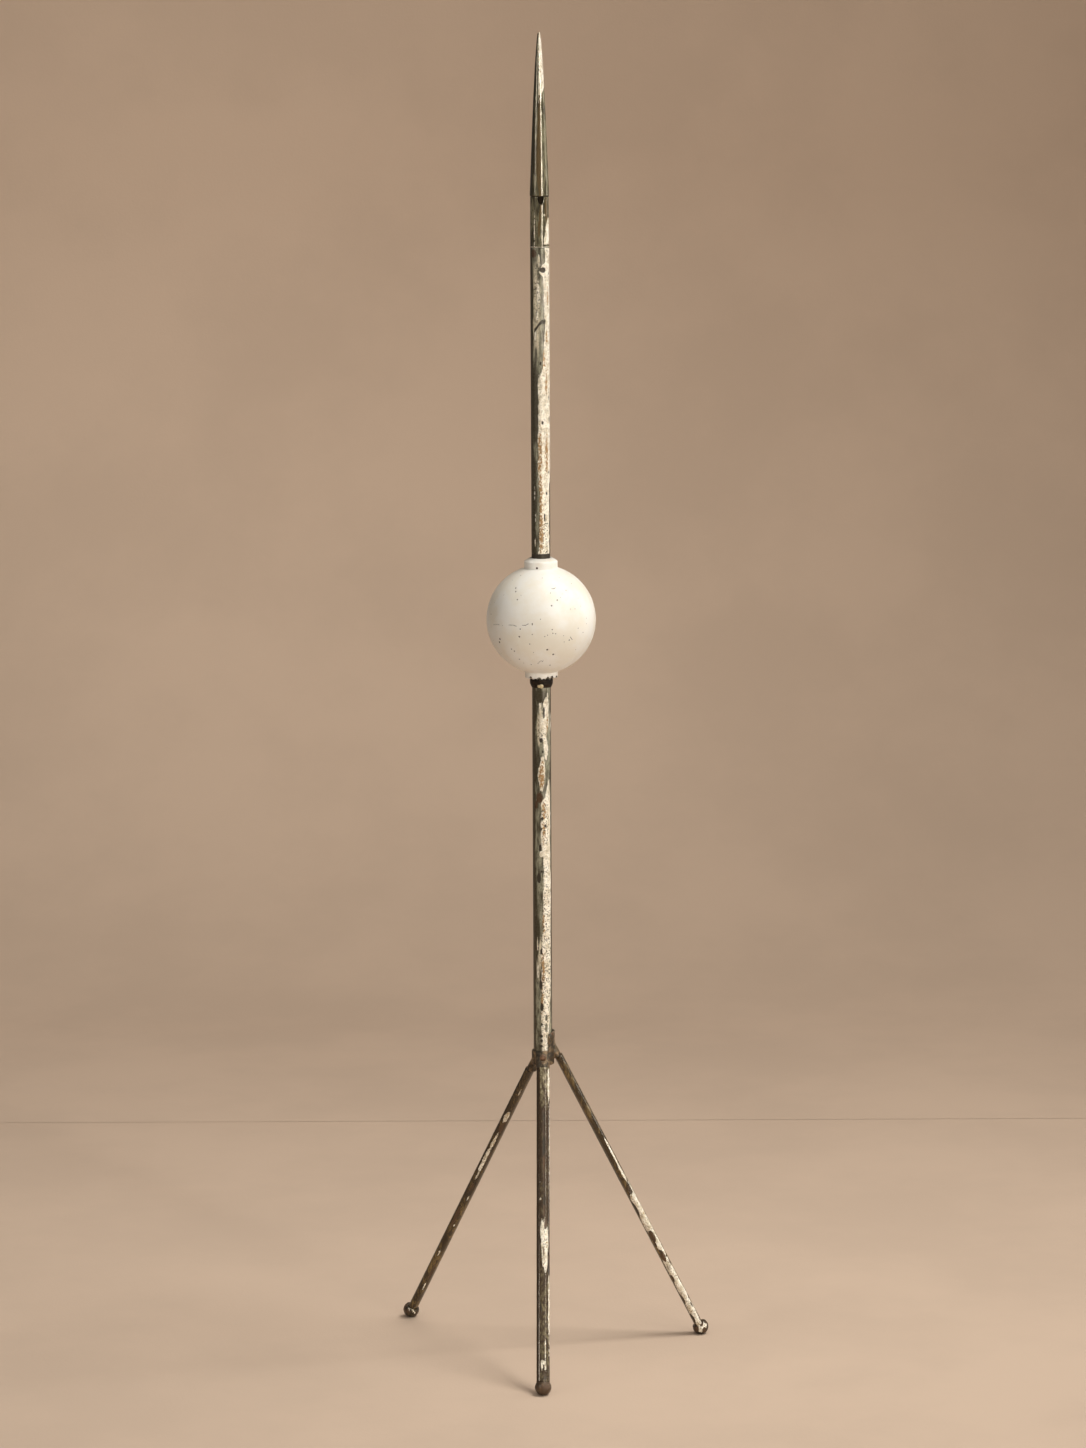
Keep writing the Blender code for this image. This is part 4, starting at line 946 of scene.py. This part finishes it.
def ball_marks():
    """Every pit, with the hairlines as rows of fine ones: centre and radius."""
    marks = [(on_ball(aside, above), size / 1000) for aside, above, size in PITS]
    for line in HAIRLINES:
        for (x1, y1), (x2, y2) in zip(line, line[1:]):
            steps = max(1, round(math.hypot(x2 - x1, y2 - y1) / HAIRLINE_STEP))
            for share in np.arange(steps) / steps:
                place = on_ball(x1 + (x2 - x1) * share, y1 + (y2 - y1) * share)
                marks.append((place, HAIRLINE_RADIUS / 1000))
    marks.append((ball_centre + Vector(NECK_CHIP), NECK_CHIP_SIZE))
    chance = random.Random(12)
    for i in range(BACK_PITS):
        way = Vector((chance.uniform(-1, 1), chance.uniform(0.15, 1.2), chance.uniform(-0.85, 0.8)))
        marks.append((ball_centre + way.normalized() * BALL_RADIUS, chance.uniform(0.35, 0.9) / 1000))
    return marks


def refine(mesh, marks):
    """Splits the faces around each mark, so that it has a round edge."""
    shape = bmesh.new()
    shape.from_mesh(mesh)
    centres = np.array([tuple(centre) for centre, size in marks])
    for reach in (0.0021, 0.0015):
        middles = np.array([(edge.verts[0].co + edge.verts[1].co)[:] for edge in shape.edges]) / 2
        closest = np.full(len(middles), 1.0)
        for centre in centres:
            closest = np.minimum(closest, ((middles - centre) ** 2).sum(1))
        shape.edges.ensure_lookup_table()
        near = [shape.edges[i] for i in np.flatnonzero(closest < reach**2)]
        bmesh.ops.subdivide_edges(shape, edges=near, cuts=1, use_grid_fill=True)
    shape.to_mesh(mesh)
    shape.free()


ball_skin = turned_skin("ball_skin", ball_profile(), BALL_SIDES, closed=True)
marks = ball_marks()
refine(ball_skin, marks)
middle = np.array(ball_centre)
points = coordinates(ball_skin)
from_centre = points - middle
distance = np.linalg.norm(from_centre, axis=1)
spread = np.hypot(from_centre[:, 0], from_centre[:, 1])
flattened = (distance < BALL_RADIUS * 1.0001) & (distance > BALL_RADIUS - BALL_WALL / 2)
flattened &= spread > NECK_RADIUS + NECK_FILLET * 0.99
points[flattened] = middle + from_centre[flattened] * (BALL_RADIUS / distance[flattened])[:, None]
pit = np.zeros(len(points))
for centre, size in marks:
    far = np.sqrt(((points - np.array(centre)) ** 2).sum(1)) / size
    pit = np.maximum(pit, soft_step(1.3 - far, 0.0, 0.5) * min(1.0, 0.45 + size * 800))
on_neck = (points[:, 2] > ball_centre.z) & (spread > NECK_RADIUS * 0.98)
pit = np.where(flattened | on_neck, pit, 0.0)
outward = (points - middle) / np.maximum(distance, 1e-6)[:, None]
points = points - outward * (pit * PIT_DEPTH / 1000)[:, None]
from_centre = points - middle
degrees = np.degrees(np.arctan2(from_centre[:, 1], from_centre[:, 0]))
spread = np.hypot(from_centre[:, 0], from_centre[:, 1])
bite = np.zeros(len(points))
for where, half_width, rise in NECK_BITES:
    gap = np.abs((degrees - where + 180) % 360 - 180)
    bite = np.maximum(bite, rise * np.sqrt(np.clip(1 - (gap / half_width) ** 2, 0, 1)))
rim = (spread > NECK_RADIUS - NECK_BITE_REACH) & (points[:, 2] < ball_low.z + NECK_BITE_REACH)
lift = np.clip(ball_low.z + bite - points[:, 2], 0, None)
lift *= soft_step(spread, NECK_RADIUS - NECK_BITE_REACH, NECK_RADIUS - 0.001)
points[rim, 2] += lift[rim]
move_points(ball_skin, points)
ball_skin.validate()
set_layers(ball_skin, pit=pit, chipped=np.where(rim, soft_step(lift, 0.0002, 0.0012), 0.0))


def milk_glass():
    look, tree, shader = new_material("milk_glass")
    clouds = band(tree, grain(tree, 0.03, 4.0, seed=3.0), 0.38, 0.66)
    freckles = band(tree, grain(tree, 0.0022, 2.0, seed=5.0), 0.7, 0.78)
    colour = cover(tree, GLASS, (clouds, GLASS_DIM),
                   (calc(tree, "MULTIPLY", freckles, 0.35), GLASS_FRECKLE),
                   (layer(tree, "chipped"), GLASS_BROKEN),
                   (band(tree, layer(tree, "pit"), 0.25, 0.65), GLASS_DIRT))
    worn = calc(tree, "MULTIPLY_ADD", grain(tree, 0.012, 4.0, seed=8.0), 0.16, 0.34)
    set_inputs(tree, shader, Base_Color=colour, Roughness=worn, Subsurface_Weight=0.1,
               Subsurface_Radius=(0.03, 0.027, 0.022), Subsurface_Scale=1.0)
    bump(tree, shader, grain(tree, 0.006, 3.0, seed=9.0), 0.00006)
    return look


add_piece("milk_glass_ball", ball_skin, milk_glass(), "glass_ball")


# Ferrule: a short sleeve over the point's shank, with a bead at its foot. A shield-shaped piece has
# broken out of its mouth. Old coats have run down it in brown, grey-green and cream bands.

ferrule_low, ferrule_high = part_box("ferrule")
STREAK_BROWN = (0.095, 0.062, 0.025)
RUN_COAT = (0.21, 0.19, 0.115)
RUN_COAT_DARK_AND_SHADE = (0.034, 0.028, 0.014)
RUN_GLOSS = 0.13
FERRULE_RADIUS = 0.01
FERRULE_TAPER = 0.0002
FERRULE_BEAD = 0.0013
FERRULE_ROWS = 84
FERRULE_SIDES = 128
NOTCH_ACROSS = 1.4
NOTCH_HALF_WIDTH = 3.5
NOTCH_DEPTH = 8.2
FERRULE_CREAM = ((1.224, 8.0, 14), (1.215, 6.6, 16), (1.203, 5.0, 17), (1.1965, 4.4, 17))
FERRULE_SCRAPS = ((1.249, -1.0, 0.9, 1.6), (1.249, 4.0, 0.9, 1.6), (1.2272, 5.6, 1.6, 1.0),
                  (1.215, -5.4, 0.6, 14))
FERRULE_BROWN = ((1.236, 1.8, 1.2, 9), (1.224, 0.6, 1.3, 10), (1.213, -0.6, 1.4, 10),
                 (1.234, 7.4, 2.6, 16))


def ferrule_profile():
    """Down the slightly tapered outside, round the bead, then up inside."""
    bead_top = ferrule_low.z + FERRULE_BEAD
    bead = (ferrule_high.x - ferrule_low.x) / 2
    profile = list(zip(np.linspace(FERRULE_RADIUS - FERRULE_TAPER, FERRULE_RADIUS, FERRULE_ROWS + 1),
                       np.linspace(ferrule_high.z, bead_top, FERRULE_ROWS + 1)))
    for i in range(1, 9):
        swell = (bead - FERRULE_RADIUS) * math.sin(math.pi * i / 9)
        profile.append((FERRULE_RADIUS + swell, bead_top - FERRULE_BEAD * i / 9))
    profile.append((FERRULE_RADIUS, ferrule_low.z))
    profile += [(TUBE_BORE, z) for z in np.linspace(ferrule_low.z, ferrule_high.z, 12)]
    return profile


ferrule = turned_skin("ferrule", ferrule_profile(), FERRULE_SIDES, closed=True)
points, height, turned, spread = round_the_rod(ferrule)
radius = FERRULE_RADIUS * 1000
around = turned * radius
share = np.abs((around - arc(NOTCH_ACROSS, radius)) / NOTCH_HALF_WIDTH)
notch = ferrule_high.z - NOTCH_DEPTH / 1000 * np.sqrt(np.clip(1 - share**2.2, 0, 1))
notch += 0.0003 * lumps(points, 0.0015, 99, 2) * (share < 0.95)
height = np.where(share < 1, np.minimum(height, notch), height)
points[:, 2] = height
move_points(ferrule, points)
hidden = soft_step(np.abs(around), radius * 1.5, radius * 2.0)
ragged = 0.5 * lumps(points, 0.004, 100, 3, 2.2) + 0.3 * lumps(points, 0.0018, 101, 2)
cream = np.maximum(borders(height, around, FERRULE_CREAM, radius),
                   spots_at(height, around, FERRULE_SCRAPS, radius))
cream = mixed(hidden, cream + ragged, 2.0 * lumps(points, 0.012, 102, 3, 3.0) - 0.9)
bead_share = soft_step(-height, -(ferrule_low.z + FERRULE_BEAD), -(ferrule_low.z + 0.5 * FERRULE_BEAD))
cream = np.maximum(cream, 1.2 * bead_share - 0.7 + 0.5 * lumps(points, 0.004, 104, 2))
bare = 2.2 * lumps(points, 0.005, 103, 2, 1.4) - 1.75
bare = np.maximum(bare, np.where(share < 1.1, 0.45 - np.abs(height - notch) * 1000, OUTSIDE))
bare = np.maximum(bare, 0.35 - np.abs(height - ferrule_high.z) * 1000)
bare = np.maximum(bare, 0.3 - np.abs(height - ferrule_low.z) * 1000)
bare = np.where(spread < 0.009, 1.0, bare)
paint_relief(ferrule, cream, bare, 0.00006, 0.0001, ochre=0.5 * soft_step(ragged, 0.1, 0.5),
             tan=soft_spots(height, around, FERRULE_BROWN, radius), dark=0.1, pale=0.25, pepper=0.2, rust=0.2)


def run_paint(name, seed):
    """Worn paint with a brown coat showing in bands, on the ferrule and the point."""
    look = worn_paint(name, seed, RUN_COAT, RUN_COAT_DARK_AND_SHADE, RUN_GLOSS)
    tree = look.node_tree
    shader = tree.nodes["Principled BSDF"]
    under = shader.inputs["Base Color"].links[0].from_socket
    streaks = grain(tree, 0.003, 3.0, (1.0, 1.0, 0.25), seed)
    torn = calc(tree, "MULTIPLY_ADD", streaks, 0.7, layer(tree, "tan"))
    colour = cover(tree, under, (band(tree, torn, 0.62, 1.1), STREAK_BROWN))
    set_inputs(tree, shader, Base_Color=colour)
    return look


add_piece("ferrule_sleeve", ferrule, run_paint("ferrule_paint", 71.0), "ferrule")


# Point: a solid tapered spire. Cream paint is left on its upper right side and ends in a drip; below
# it a brown streak runs down the front, glossy along its right edge, between grey-green flanks.

point_low, point_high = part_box("point")
POINT_SWELL = 0.64
POINT_FOOT = ferrule_high.z + 0.0003
POINT_RADIUS = (point_high.x - point_low.x) / 2
POINT_TIP_RADIUS = 0.0008
POINT_ROWS = 230
POINT_SIDES = 96
SHANK_RADIUS = TUBE_BORE - 0.0003
POINT_LIP = 0.001
POINT_OVERRUN = 0.01
# Borders of the cream coat and of the brown streak: height, then left and right as shares of the half
# width. A border past 1 has gone round the side.
POINT_CREAM = ((1.416, -0.2, 1.8), (1.4, -0.1, 1.7), (1.372, -0.1, 1.6), (1.358, -0.1, 0.9),
               (1.354, -0.1, 0.5), (1.344, -0.1, 0.4), (1.339, 0.1, 0.3))
POINT_BROWN = ((1.342, -0.1, 0.3), (1.33, -0.25, 0.32), (1.3, -0.35, 0.3), (1.276, -0.4, 0.25),
               (1.26, -0.2, 0.25), (1.247, -0.05, 0.2))


def point_profile():
    """Down the outside to the lip, then the shank, which is closed below."""
    lip_top = POINT_FOOT + POINT_LIP
    profile = [(POINT_TIP_RADIUS * 0.25, point_high.z),
               (POINT_TIP_RADIUS * 0.7, point_high.z - POINT_TIP_RADIUS / 3)]
    for i in range(1, POINT_ROWS + 1):
        share = (i / POINT_ROWS) ** 1.35
        radius = POINT_TIP_RADIUS + (POINT_RADIUS - POINT_TIP_RADIUS) * share**POINT_SWELL
        profile.append((radius, point_high.z - (point_high.z - lip_top) * share))
    profile.append((POINT_RADIUS, POINT_FOOT))
    profile += [(SHANK_RADIUS, z) for z in np.linspace(POINT_FOOT, point_low.z, 6)]
    return profile


spire = turned_skin("spire", point_profile(), POINT_SIDES, closed=False)
points, height, turned, spread = round_the_rod(spire)
spread = np.maximum(spread, 0.0006) * 1000
hidden = soft_step(np.abs(turned), 1.7, 2.2)
ragged = 0.35 * lumps(points, 0.003, 110, 3, 3.0)
cream = borders(height, turned, POINT_CREAM, 1.0, spread, POINT_OVERRUN) + ragged
cream = mixed(hidden, cream, 2.0 * lumps(points, 0.01, 111, 3, 4.0) - 0.6)
bare = 2.2 * lumps(points, 0.004, 112, 2, 1.8) - 1.75
bare = np.maximum(bare, 0.7 - np.hypot(turned + 0.9, (height - 1.4125) * 600))
bare = np.maximum(bare, 0.3 - np.abs(height - POINT_FOOT) * 1000)
bare = np.where(height < POINT_FOOT - 0.0001, 1.0, bare)
brown = borders(height, turned, POINT_BROWN, 1.0, spread, POINT_OVERRUN) + ragged
# The left flank, as seen from the front, is darkened through the dark layer: painted shade.
paint_relief(spire, cream, bare, 0.00005, 0.00008, tan=soft_step(brown, -0.6, 1.2) * (1 - hidden),
             ochre=0.3 * soft_step(ragged, 0.0, 0.3), dark=soft_step(-turned, 0.3, 1.0) * (1 - hidden),
             pale=0.15, pepper=0.15, rust=0.2)
points = coordinates(spire)
points[:, 2] = np.minimum(points[:, 2], point_high.z)
move_points(spire, points)
add_piece("spire", spire, run_paint("spire_paint", 83.0), "point")
